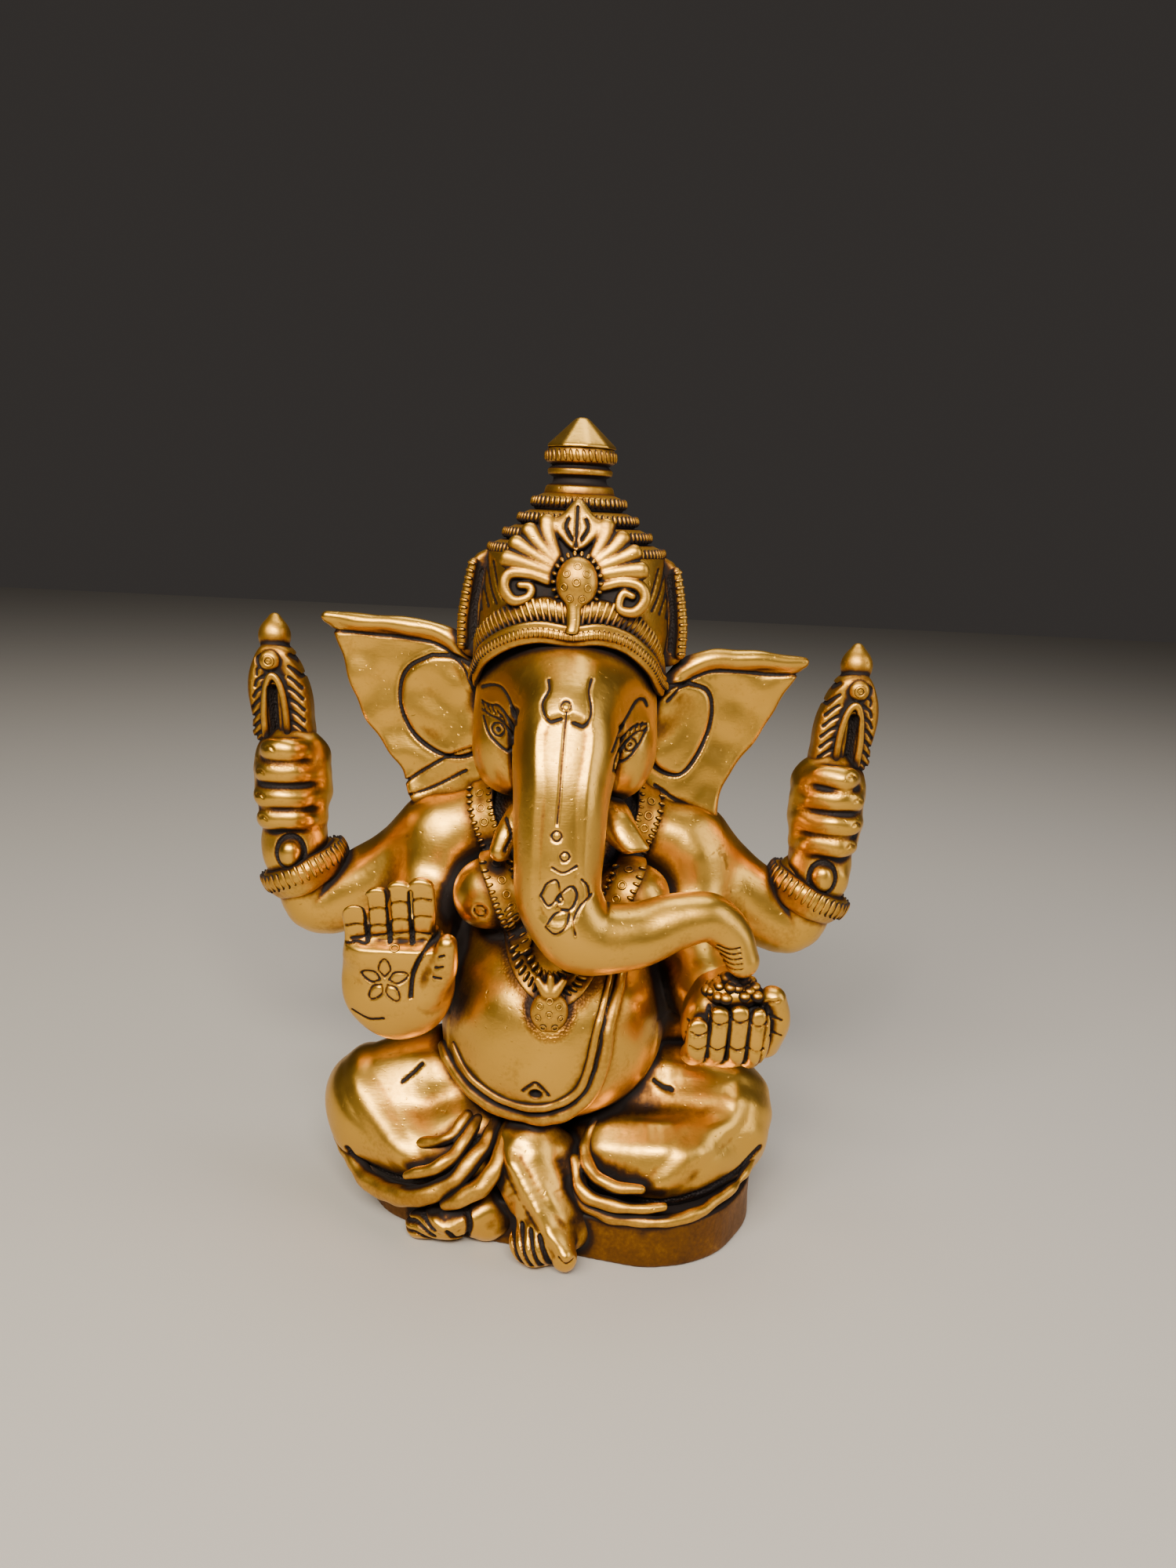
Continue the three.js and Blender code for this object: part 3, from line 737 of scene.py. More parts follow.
RIGHT_LEG = make_leg(
    -1, [(limb([(-11, -4, 23), (-22, -6, 22.5), (-35, -6.5, 18.6)], [11, 10.4, 9.4]), 0),
         (limb([(-35, -11, 15.2), (-24, -17.6, 13.6), (-13, -18, 15)], [7.6, 7.2, 6]), 5),
         (egg((-14.5, -14.6, 18.4), (8.6, 8, 6)), 3)],
    [(-38, 26), (-36.4, 24), (-30.3, 17.8), (-25, 13)], [(-28.8, 25.6), (-27, 27), (-25.2, 28.8)],
    [(-38.6, 12.6), (-36.6, 10.6), (-30.4, 9.9), (-23.8, 10.9), (-18.6, 15), (-13.1, 19)])
LEFT_LEG = make_leg(
    1, [(limb([(11, -4, 23), (22, -6, 22.5), (33.5, -7, 20)], [11, 10.4, 9.4]), 0),
        (limb([(33, -11, 15.5), (22, -20.2, 15), (12, -19.4, 15.4)], [9, 9.6, 7.4]), 5),
        (egg((11, -15, 17.6), (7.6, 8, 6)), 3)],
    [(35, 24.6), (33.8, 23.1), (26.1, 19.4), (20.6, 14.4)], [(19.3, 27.7), (21, 26.8), (22.8, 26.5)],
    [(5.3, 12.8), (10.1, 11.5), (15.2, 10.9), (21.2, 10.9), (28, 11.8), (35.6, 13.1), (40, 16)])
cast(RIGHT_LEG, "right_leg", "polished_brass", "right_thigh", "right_shin")
cast(LEFT_LEG, "left_leg", "polished_brass", "left_thigh", "left_shin")


# %% Feet
def make_right_foot():
    clay = Clay((-15, -42, -1), (13, -14, 27), 0.25)
    clay.add(limb([(-4, -22.6, 17.4), (-4, -25, 15), (-1, -28.8, 9.6), (0.8, -31.6, 6)], [6.6, 7.4, 5, 4.4]))
    clay.add(limb([(2.2, -22.6, 16.4), (4.4, -26, 10.8), (5.2, -28.8, 4.6)], [3.4, 3.6, 3.2]), 2.5)
    clay.add(egg((-1.8, -32.6, 4.2), (5, 4.4, 4)), 1.5)
    clay.add(limb([(1, -31.5, 7), (3.2, -35.4, 3.6)], [3.2, 2.6]), 0.8)
    clay.press([[(-6.8, 18.4), (-4.1, 14.8), (-0.9, 10.6), (3.4, 5.6)]], 2.2, -0.9, (-42, -14))
    toes = [[(-7.4, 7.4), (-7, 4.4), (-5.6, 2)], [(-5.9, 8.2), (-5.4, 4.8), (-3.9, 2)],
            [(-4.3, 8.2), (-3.8, 5), (-2.2, 2)], [(-2.7, 8), (-2.1, 5.2), (-0.5, 1.8)],
            [(-1.1, 7.6), (-0.3, 5.4), (1.2, 2)]]
    clay.press(toes, 0.5, 0.7, (-42, -24), stain=0.5)
    clay.press([[(2.4, 5.2), (3.6, 4), (4.8, 4.4)]], 0.4, 0.4, (-42, -26))
    clay.slice_off((0, 0, 0.3), (0, 0, -1), 0.6)
    clay.ripple(0.2, 5, 6)
    cast(clay, "right_foot", "polished_brass")


def make_left_foot():
    clay = Clay((-31, -38, -1), (-4, -14, 14), 0.25)
    clay.add(egg((-11.4, -25.6, 5), (5.2, 4, 4.8)))
    clay.add(limb([(-13, -26.6, 5.4), (-18.6, -27.4, 4.4), (-23.8, -25.6, 2.6)], [3.6, 3.4, 2.3]), 1)
    clay.press([[(-20.6, 6.2), (-18.4, 5), (-15.2, 7)]], 1.6, -0.6, (-40, -18))
    toes = [[(-26, 5.4 - 1.6 * i), (-23.4, 6 - 1.8 * i), (-20.4, 4.2 - 1.5 * i)] for i in range(3)]
    clay.press(toes, 0.5, 0.75, (-40, -18), stain=0.5)
    clay.press([[(-18, 4.6), (-16.6, 2.6), (-14.6, 3)], [(-15, 8.6), (-14, 5.6), (-15, 1)]], 0.7, 0.8,
               (-40, -18), stain=0.5)
    clay.slice_off((0, 0, 0.3), (0, 0, -1), 0.6)
    clay.ripple(0.2, 5, 7)
    cast(clay, "left_foot", "polished_brass")


make_right_foot()
make_left_foot()


# %% Wrap: gathered pleats and the hem over each shin
PROUD = {"right_pleats": 2.0, "left_pleats": 1.4, "right_hem": 0.8}  # how far they stand off the leg


def make_wrap():
    worn = {
        "right_pleats": [
            ([(-24.6, -20.6, 17.4), (-19, -22.4, 19.6), (-15.8, -19, 22.6)], [0.7, 1.3, 1]),
            ([(-26, -25.4, 13.6), (-20, -26.4, 16.2), (-16.6, -23.6, 18.6), (-13.8, -19, 21.6)],
             [0.7, 1.5, 1.5, 1.1]),
            ([(-18.4, -27.6, 9.6), (-16, -28.6, 11.2), (-12, -28.4, 14), (-9.3, -26.4, 17.4),
              (-8.2, -22, 20.6)],
             [1.1, 1.8, 1.9, 1.7, 1.3]),
        ],
        "right_hem": [
            ([(-43, -8, 13.6), (-40.1, -12, 10.7), (-33.5, -20.4, 8), (-24.8, -26.8, 9.4), (-18.2, -28, 12.8),
              (-14.5, -26.8, 16.4), (-11.8, -24, 19), (-10.4, -20, 21.4)],
              [0.8, 1.5, 2, 2, 1.9, 1.8, 1.6, 1.2]),
        ],
        "left_pleats": [
            ([(8, -19.4, 22), (6.4, -23.4, 18.8), (8, -27.6, 16.4), (11.6, -29.6, 15.2), (16.6, -30, 14.9)],
             [0.9, 1.3, 1.3, 1.2, 0.7]),
            ([(4.4, -25, 17.6), (5.6, -28.4, 14), (9.4, -30.6, 12.6), (14.6, -31.4, 12), (20.8, -31.2, 12.4)],
             [1, 1.3, 1.3, 1.1, 0.7]),
        ],
        "left_hem": [
            ([(3.6, -26.8, 14), (5.6, -29.4, 11.2), (10, -31.8, 9.9), (15.2, -32.6, 9.5),
              (21.2, -32.6, 9.5), (28, -29.8, 10.2), (36, -21.8, 11.8), (41, -12, 14.6)],
              [0.8, 1.1, 1.1, 1.1, 1.1, 1, 0.9, 0.7]),
        ],
    }
    for name, strands in worn.items():
        side = -1 if name.startswith("right") else 1
        clay = Clay(*sorted_box(side, (0, -38, 5), (47, -2, 28)), 0.27)
        for line, radii in strands:
            proud = PROUD.get(name, 0)
            clay.add(limb([(x, y - proud, z) for x, y, z in line], radii), 0.3)
        clay.ripple(0.2, 5, 17)
        cast(clay, name, "chased_brass")


make_wrap()

# %% [markdown]
# ## Head, trunk, tusks and ears
# The forehead is high and smooth. The trunk drops from it with a flat strip filed down its front, turns
# to the figure's left and hangs its tip over the sweets. Eyes, brows and the forehead mark are engraved.

# %% Head and trunk
TRUNK = [
    (0, -11, 104), (-0.2, -21, 97), (-0.6, -27, 88), (-0.8, -29.6, 78), (-0.2, -30.6, 69), (4.2, -30.6, 62.8),
    (12.4, -29.2, 62.4), (19.6, -27.6, 64.6), (25.8, -26.4, 65.4), (30.2, -25.8, 62), (32.4, -26, 57.6),
]
TRUNK_RADII = [10.5, 9.6, 8.2, 7.5, 7.4, 7, 5.8, 4.8, 4.4, 3.7, 2.9]


def make_head():
    clay = Clay((-22, -42, 52), (38, 20, 116), 0.24)
    clay.add(egg((-0.7, -3, 98), (16.9, 17.2, 19)))
    clay.add(egg((-10.6, -9, 91), (6.8, 8, 9.2)) + egg((9.6, -9, 91), (6.4, 8, 9.2)), 4)
    clay.add(limb(TRUNK, TRUNK_RADII, steps=14), 5)
    clay.press([[(-9, 99), (-9.2, 93), (-8.6, 87), (-8.4, 82)], [(8.4, 97), (8.2, 92), (7.6, 87), (7.4, 82)]],
               1.8, 0.8, (-24, -6))
    clay.raise_inside([(-4, 99), (-4.2, 88), (-4.4, 78), (-3.4, 68), (2.4, 68), (2.8, 78), (2.6, 88),
                       (3, 99)],
                      -0.55, 1.4, (-42, -20))
    clay.press([[(-0.4, 97), (-0.8, 88), (-1, 80), (-0.6, 72)]], 5.2, 0.25, (-42, -20))
    brows = [[(-15.9, 101.6), (-14.1, 102.4), (-12.1, 102.5), (-10.7, 101.3), (-9.8, 99.7), (-8.9, 97.7)],
             [(7.4, 94.4), (8.7, 97.1), (10.3, 99.4), (11.6, 101.1), (13, 101.1), (13.8, 99.9)]]
    clay.press(brows, 0.42, 0.44, (-30, -4), stain=0.25)
    lids = [[(-15.8, 99.2), (-14.1, 99), (-12.4, 99.2), (-10.9, 98), (-9.7, 96.3), (-9.3, 94.3)],
            [(-15.6, 97.9), (-14, 97.3), (-12, 96.9), (-10.6, 95.7), (-9.7, 94.3)],
            [(-15.3, 96.9), (-14.2, 94.4), (-12.8, 93), (-10.7, 91.6), (-9.6, 92.3)],
            [(7.8, 91), (8.1, 93.1), (9.7, 95.5), (11.6, 96.9), (13.9, 96.8)],
            [(8.2, 90.2), (8.9, 92.2), (10.1, 94.2), (11.8, 95.6), (13.9, 95.8)],
            [(7.9, 90.8), (9.7, 90.7), (11.3, 91.8), (12.9, 94.2), (13.9, 96.3)]]
    clay.press(lids, 0.33, 0.42, (-30, -4), stain=0.25)
    lashes = [[(x, z), (x - 0.7, z + 1)]
              for x, z in ((-15, 98), (-14, 97.9), (-13, 97.7), (-12, 97.4), (-11.2, 96.8))]
    lashes += [[(x, z), (x + 0.3, z + 1)]
               for x, z in ((9, 93.6), (9.8, 94.6), (10.7, 95.4), (11.7, 96), (12.7, 96.2))]
    clay.press(lashes, 0.3, 0.34, (-30, -4))
    for x, z in ((-12.4, 95.2), (10.9, 93.6)):
        for r in (0.3, 1.15):
            clay.press([punched_ring(x, z, r)], 0.3, 0.4, (-30, -4), closed=True)
    mark = [[(-3.7, 105.4), (-3.6, 103.9), (-4.5, 102), (-4.1, 100.3), (-3.1, 99.3), (-1.2, 99.8)],
            [(3.4, 105.8), (3.1, 104), (3.5, 101.8), (3.4, 100.1), (2.4, 98.8), (0.7, 99.2)],
            [(-0.5, 100.7), (-0.8, 94.5), (-1, 87.9), (-1.2, 83.4)]]
    clay.press(mark[:2], 0.4, 0.4, (-42, -16))
    clay.press(mark[2:], 0.28, 0.36, (-42, -16))
    rings = [(-0.6, 101.8, 0.8), (-1.2, 81.5, 0.8), (0.3, 78.2, 0.75), (-0.2, 71, 0.5)]
    for x, z, r in rings:
        clay.press([punched_ring(x, z, r)], 0.3, 0.36, (-42, -16), closed=True)
    leaves = [[(-1.8, 76.4), (0.2, 75.6), (2.3, 76.6)],
              [(-3.4, 71.4), (-2.4, 73.6), (-0.8, 74.2), (-0.4, 71.8), (-2, 69.8), (-3.4, 71.4)],
              [(-0.6, 69.6), (0, 72), (1.6, 73.2), (2.6, 71.6), (1.6, 69.4), (-0.6, 69.6)],
              [(-2.4, 66.2), (-0.8, 68.6), (1.2, 69), (1, 66.6), (-0.8, 65.2), (-2.4, 66.2)],
              [(2.6, 65.2), (2.2, 67.6), (3.2, 70), (5, 71.6)], [(3.2, 74.4), (4.2, 73.2), (4.6, 71.4)]]
    clay.press(leaves, 0.32, 0.34, (-42, -20))
    wrinkles = [[(27.4, 61.2 - i), (29.4 + 0.2 * i, 60.6 - i), (31.4 + 0.2 * i, 61 - i)] for i in range(5)]
    clay.press(wrinkles, 0.32, 0.36, (-36, -20))
    clay.cut(egg((30.2, -26.4, 53.8), (0.9, 1.4, 1.6)), 0.6)
    clay.ripple(0.11, 9, 8)
    cast(clay, "head_and_trunk", "polished_brass", "head", "trunk", most=170000)


make_head()


def make_tusks():
    clay = Clay((-15, -24, 68), (-4, -8, 84), 0.26)
    clay.add(limb([(-8.2, -14, 79.4), (-10.2, -17.4, 76.4), (-11.4, -18.8, 73.4)], [2.4, 2.2, 1.7]))
    clay.press([[(-10.4, 79), (-9.4, 76.6), (-10.4, 74)]], 0.5, 0.5, (-24, -10), stain=0.5)
    cast(clay, "right_tusk", "polished_brass")
    clay = Clay((4, -27, 68), (18, -8, 86), 0.26)
    clay.add(limb([(8.4, -13, 79.6), (10.8, -17.4, 77), (14.2, -20, 74.4)], [3.4, 3.5, 1.2]))
    clay.slice_off((12, -20.2, 76.4), (0.25, -0.85, 0.5), 1.2)
    clay.slice_off((11, -18, 73.6), (0.2, -0.3, -1), 0.8)
    cast(clay, "left_tusk", "polished_brass")


make_tusks()


# %% Ears
def make_ear(name, box, outline, front, boss, boss_centre, boss_radii, rim, lines, lines_low):
    """An ear is a thin shell that leans back as it spreads; front gives its depth from x."""
    clay = Clay(*box, 0.3)
    _, (x, y, z) = clay.window(*box)
    sheet = from_outline(x[:, 0, :], z[:, 0, :], curve(outline, 6, True))[:, None, :]
    bowl = 2.2 * np.exp(-(((x - boss_centre[0]) / 15) ** 2 + ((z - boss_centre[1]) / 17) ** 2))
    depth = y - (front(x) + bowl - 1.0)
    clay.f = soft_max(np.abs(depth) - 1.35, sheet, 1.4).astype(np.float32)
    lip = [(a, float(front(np.float32(a))) - 1.2, b) for a, b in rim]
    clay.add(limb(lip, [1.0, 1.5, 1.4, 1.4, 1.3, 1.1]), 1.2)
    reach = (box[0][1], box[1][1])
    clay.raise_inside(boss, 0.9, 2.4, reach)
    clay.press([boss + boss[:1]], 0.62, 0.8, reach, stain=0.35)
    clay.press([rim_line(rim)], 0.45, 0.45, reach, stain=0.25)
    clay.press(lines, 0.44, 0.5, reach, stain=0.25)
    clay.press(lines_low, 0.4, 0.45, reach, stain=0.25)
    clay.ripple(0.3, 6, 9)
    cast(clay, name, "polished_brass")


def rim_line(rim):
    return [(a, b - 2.4) for a, b in rim]


def make_ears():
    make_ear(
        "right_ear", ((-51, -8, 72), (-13, 12, 116)),
        [(-47.5, 112), (-45.7, 108.8), (-44.2, 105), (-42, 97.6), (-39.5, 92.5), (-35.5, 87), (-32.7, 83),
         (-29.8, 77.5), (-28, 75), (-21.1, 77.6), (-15.5, 80.4), (-14, 90), (-14.5, 104), (-21.9, 109.4),
         (-25, 111), (-31.1, 112), (-37.9, 112.4)],
        lambda x: 1.2 + (np.abs(x) - 17) * 0.13, [
            (-26.4, 105.6), (-30.5, 103.3), (-32.4, 100), (-32.3, 94.9), (-29.4, 89.7), (-23.5, 86.5),
            (-18, 87.4), (-15, 92), (-15, 101), (-20.9, 105.4)],
        (-33, 97), (8, 10), [(-46.6, 111.6), (-38, 111.2), (-31, 110.9), (-25, 109.9), (-20.6, 106.6),
                             (-17.6, 101.6)],
        [[(-31.2, 80.6), (-26.5, 84), (-20.9, 87.5), (-16, 89)]],
        [[(-30.2, 78.2), (-25.8, 80), (-19.2, 83.9)]])
    make_ear(
        "left_ear", ((12, -8, 66), (50, 12, 112)),
        [(45.4, 107.8), (43.2, 104), (40.2, 98.2), (36.4, 91.1), (32.4, 85.3), (29.9, 79.3), (29.6, 74.4),
         (29.2, 69.8), (22, 73.6), (14.9, 79.4), (14.5, 90), (14.5, 100), (18.9, 105.4), (21.5, 107.4),
         (26.4, 108.9), (31.7, 108.9), (38, 108.3)],
        lambda x: 1.2 + (np.abs(x) - 17) * 0.13, [
            (22.3, 102.6), (25.8, 101.4), (27.2, 98.4), (26.9, 93.5), (24.6, 88), (21.6, 84.8), (17.4, 85.9),
            (15, 90), (15.5, 98), (17.7, 101.6)],
        (33, 95), (8, 10), [(44.6, 107.2), (38, 107), (32, 107.4), (26.4, 107.2), (21.6, 105), (18.4, 101.6)],
        [[(17, 82.6), (22.2, 79.2), (29.1, 75.7)]], [[(15.8, 80.3), (22, 76.2), (29, 72.4)],
                                                     [(27, 71.4), (27.6, 73.6)]])


make_ears()

# %% [markdown]
# ## Ornament by the row
# The maker's small punches make the same mark over and over: flutes, rope, notches, rings. Here one
# Geometry Nodes tree repeats a small template along a row of points. Every point carries the way out
# of the surface and the way along the row, and a fixed seed varies the sizes by a few per cent.

# %% Templates and the row tree
def template(name, shapes, low, high, voxel=0.2):
    """A small piece of clay round the origin, x along the row, z out of the surface."""
    clay = Clay(low, high, voxel)
    clay.add(shapes)
    grid = openvdb.FloatGrid(FAR)
    grid.copyFromArray(np.minimum(clay.f, FAR))
    index, quads = grid.convertToQuads(0.0)
    points = (index + clay.start) * voxel
    obj = mesh_object(name, points * MM, quads)
    top = points[:, 2].max()
    # painted shade and lacquer: each mark darkens towards its base, where it meets the surface, and stays
    # bright at its top
    paint(obj, "hollow", np.clip(0.85 - 1.05 * points[:, 2] / top, 0, 1))
    paint(obj, "matted", np.zeros(len(points)))
    obj.hide_render = True
    return obj


def ring_template(name, radius, wire):
    circle = [(radius * math.cos(a), radius * math.sin(a), 0) for a in np.linspace(0, 2 * math.pi, 13)]
    size = radius + wire + 0.4
    return template(name, limb(circle, [wire], steps=2), (-size, -size, -wire - 0.4),
                    (size, size, wire + 0.4), 0.13)


def row_tree():
    tree = bpy.data.node_groups.new("row of punch marks", "GeometryNodeTree")
    face = tree.interface
    face.new_socket("Geometry", in_out="INPUT", socket_type="NodeSocketGeometry")
    for label, kind in (("Template", "NodeSocketObject"), ("Finish", "NodeSocketMaterial"),
                        ("Unevenness", "NodeSocketFloat"), ("Seed", "NodeSocketInt")):
        face.new_socket(label, in_out="INPUT", socket_type=kind)
    face.new_socket("Geometry", in_out="OUTPUT", socket_type="NodeSocketGeometry")
    given = tree.nodes.new("NodeGroupInput").outputs
    outward, along, size = (
        node(tree, "GeometryNodeInputNamedAttribute", data_type="FLOAT_VECTOR",
             Name=label).outputs["Attribute"]
        for label in ("outward", "along", "size"))
    aim = node(tree, "FunctionNodeAlignRotationToVector", axis="Z", Vector=outward)
    turn = node(tree, "FunctionNodeAlignRotationToVector", axis="X", pivot_axis="Z", Vector=along,
                Rotation=aim.outputs["Rotation"])
    least = node(tree, "ShaderNodeMath", operation="SUBTRACT", i0=1.0, i1=given["Unevenness"])
    uneven = node(tree, "FunctionNodeRandomValue", data_type="FLOAT", Max=1.0, Seed=given["Seed"])
    tree.links.new(least.outputs[0], uneven.inputs["Min"])
    scale = node(tree, "ShaderNodeVectorMath", operation="SCALE", i0=size, Scale=uneven.outputs["Value"])
    mark = node(tree, "GeometryNodeObjectInfo", Object=given["Template"])
    copies = node(tree, "GeometryNodeInstanceOnPoints", Points=given["Geometry"],
                  Instance=mark.outputs["Geometry"], Rotation=turn.outputs["Rotation"],
                  Scale=scale.outputs[0])
    solid = node(tree, "GeometryNodeRealizeInstances", i0=copies.outputs[0])
    finish = node(tree, "GeometryNodeSetMaterial", Geometry=solid.outputs[0], Material=given["Finish"])
    node(tree, "NodeGroupOutput", i0=finish.outputs[0])
    return tree


ROW = row_tree()


def row(mark, places, outs, alongs, sizes=(1, 1, 1), uneven=0.08, seed=1, slot="chased_brass"):
    """Copies of a template at the given places, as a plain mesh that is not yet a finished piece."""
    places = np.array(places, float)
    count = len(places)
    mesh = bpy.data.meshes.new("row")
    mesh.from_pydata([tuple(p) for p in (places + MIDDLE) * MM], [], [])
    for label, values in (("outward", outs), ("along", alongs), ("size", sizes)):
        layer = mesh.attributes.new(label, "FLOAT_VECTOR", "POINT")
        filled = np.broadcast_to(np.array(values, np.float32), (count, 3))
        layer.data.foreach_set("vector", np.ascontiguousarray(filled).ravel())
    obj = bpy.data.objects.new("row", mesh)
    bpy.context.collection.objects.link(obj)
    modifier = obj.modifiers.new("row", "NODES")
    modifier.node_group = ROW
    sockets = {s.name: s.identifier for s in ROW.interface.items_tree if s.in_out == "INPUT"}
    modifier[sockets["Template"]] = mark
    modifier[sockets["Finish"]] = FINISHES[slot]
    modifier[sockets["Unevenness"]] = uneven
    modifier[sockets["Seed"]] = seed
    made = bpy.data.meshes.new_from_object(obj.evaluated_get(bpy.context.evaluated_depsgraph_get()))
    bpy.data.objects.remove(obj)
    out = bpy.data.objects.new("row", made)
    bpy.context.collection.objects.link(out)
    return out


def add_rows(name, rows):
    """Joins rows of marks into the finished piece they belong to."""
    piece, own = PIECES[name]
    count = len(piece.data.vertices)
    with bpy.context.temp_override(active_object=piece, selected_editable_objects=[piece] + rows,
                                   object=piece):
        bpy.ops.object.join()
    marks = np.empty(len(piece.data.vertices), np.float32)
    piece.data.attributes["hollow"].data.foreach_get("value", marks)
    marks[:count] = own
    PIECES[name] = (piece, marks)
    print(f"{name}: with its rows {len(piece.data.vertices)} vertices")


def evenly(path, gap, closed=False):
    """Points at an even spacing along a smooth 3-D curve, with the way along it at each."""
    line = curve(path, 12, closed)
    if closed:
        line = np.vstack([line, line[:1]])
    steps = np.linalg.norm(np.diff(line, axis=0), axis=1)
    at = np.concatenate([[0], np.cumsum(steps)])
    count = max(2, int(round(at[-1] / gap)))
    marks = np.linspace(0, at[-1], count + 1)[:-1] if closed else np.linspace(0, at[-1], count)
    spots = np.column_stack([np.interp(marks, at, line[:, i]) for i in range(3)])
    ahead = np.column_stack([np.interp(marks + 0.2, at, line[:, i]) - np.interp(marks - 0.2, at, line[:, i])
                             for i in range(3)])
    return spots, ahead / (np.linalg.norm(ahead, axis=1, keepdims=True) + 1e-9)


NOTCH = template("notch", egg((0, 0, 0), (0.42, 1.0, 0.7)), (-1, -1.6, -1.3), (1, 1.6, 1.3), 0.19)
FLUTE = template("flute", limb([(0, -2.1, -0.1), (0, 0.4, 0.35), (0, 2.1, 0.5)], [0.5, 0.62, 0.7], steps=3),
                 (-1.4, -3.4, -1.2), (1.4, 3.4, 1.9), 0.21)
RING = ring_template("ring punch", 0.62, 0.22)
BEAD = template("bead", egg((0, 0, 0), (1, 1, 1)), (-1.5, -1.5, -1.5), (1.5, 1.5, 1.5), 0.26)
print("templates", [t.name for t in (NOTCH, FLUTE, RING, BEAD)])

# %% [markdown]
# ## Crown
# From the brow up: a thin lip, a notched rope, a fine strand, a row of leaning flutes, a dome chased with
# leaf lines, four stepped tiers, and a turned finial. A flower with an oval jewel sits in front.

# %% Bands round the head
BAND_BACK = [(17.4, 0, 101.2), (14.5, 10, 100.6), (8, 15.4, 100.4), (0, 16.8, 100.2), (-8, 15.4, 100.4),
             (-14.5, 10, 100.6), (-17.8, 0, 101.2)]
BAND_FRONT = [(-17.7, -8, 103.4), (-15.7, -12.8, 107.4), (-11, -17.3, 110.8), (-5.8, -19.5, 112.2),
              (-0.2, -20, 111.7), (4.5, -19.5, 112.2), (9.5, -17.3, 110.8), (14, -12.8, 106.9),
              (16.2, -8, 103)]
CROWN_AXIS = (0, 0.5)


def around(path, up, out):
    """A path moved up, and outward from the crown's axis."""
    moved = []
    for x, y, z in path:
        away = math.hypot(x - CROWN_AXIS[0], y - CROWN_AXIS[1])
        moved.append((x + out * (x - CROWN_AXIS[0]) / away, y + out * (y - CROWN_AXIS[1]) / away, z + up))
    return moved


def outward_from_axis(spots, lift=0.15):
    out = spots - np.array([CROWN_AXIS[0], CROWN_AXIS[1], 0])
    out[:, 2] = 0
    out /= np.linalg.norm(out, axis=1, keepdims=True)
    out[:, 2] = lift
    return out


def make_bands():
    whole = BAND_FRONT + BAND_BACK
    size = ((-24, -25, 94), (24, 22, 122))
    clay = Clay(*size, 0.3)
    clay.add(limb(around(whole, -0.7, -0.4) + around(whole[:1], -0.7, -0.4), [0.65], steps=5))
    clay.add(limb(around(whole, 2.0, -0.1) + around(whole[:1], 2.0, -0.1), [0.65], steps=5))
    rope = around(whole, 0.6, 0.0)
    clay.add(limb(rope + rope[:1], [0.85], steps=5), 0.2)
    cast(clay, "brow_band", "chased_brass")
    spots, ahead = evenly(rope, 0.86, True)
    outs = outward_from_axis(spots)
    add_rows("brow_band", [row(NOTCH, spots + outs * 0.45, outs, ahead, (0.72, 0.95, 0.8), seed=4)])
    clay = Clay(*size, 0.3)
    base = around(whole, 4.4, -2.3)
    clay.add(limb(base + base[:1], [2.3], steps=5))
    cast(clay, "fluted_band", "chased_brass")
    spots, ahead = evenly(around(whole, 4.1, -0.9), 1.15, True)
    outs = outward_from_axis(spots, 0.42)
    lean = np.where(spots[:, :1] > 0, -1.0, 1.0) * np.array([[0, 0, 0.32]])
    add_rows("fluted_band", [row(FLUTE, spots + outs * 0.35, outs, ahead + lean, (0.72, 0.84, 0.85), seed=7)])


make_bands()


# %% Dome, tiers and finial
def turned(clay, profile, centre, squeeze=1.0, k=0.4):
    """Adds a solid turned about a vertical axis, from its outline of (radius, height) points."""
    r = max(p[0] for p in profile)
    low, high = (centre[0] - r, centre[1] - r, profile[0][1]), (centre[0] + r, centre[1] + r, profile[-1][1])
    loop = np.array([(-p[0], p[1]) for p in reversed(profile)] + list(profile), float)

    def distance(x, y, z):
        away = np.sqrt((x - centre[0]) ** 2 + ((y - centre[1]) / squeeze) ** 2)
        return from_outline(away, z + 0 * away, loop)

    clay.add([(np.array(low), np.array(high), distance)], k)


def make_dome():
    clay = Clay((-24, -24, 100), (24, 22, 130), 0.32)
    turned(clay, [(15, 103), (17.2, 106), (18, 112), (17.4, 119), (16.4, 125.6), (10, 126)], (0, 1), 0.97)
    strokes = []
    for side in (-1, 1):
        for i in range(5):
            x = side * (12.4 + 1.5 * i)
            strokes.append([(x, 117.4 - 0.8 * i), (x + side * 1.2, 119.4), (x + side * 2.4, 123.8)])
    clay.press(strokes, 0.4, 0.4, (-24, 2), stain=0.15)
    leaves = []
    for angle in np.linspace(25, 155, 9):
        x = 17 * math.cos(math.radians(angle))
        for s in (-1, 0, 1):
            leaves.append([(x + 0.4 * s, 112), (x + 1.3 * s, 117), (x + 0.5 * s, 122)])
    clay.press(leaves, 0.45, 0.6, (4, 22))
    cast(clay, "crown_dome", "chased_brass")


TIERS = [(16.4, 124.8, 2.9), (13.7, 127.6, 2.9), (11.1, 130.4, 2.9), (8.7, 133.2, 3.2)]


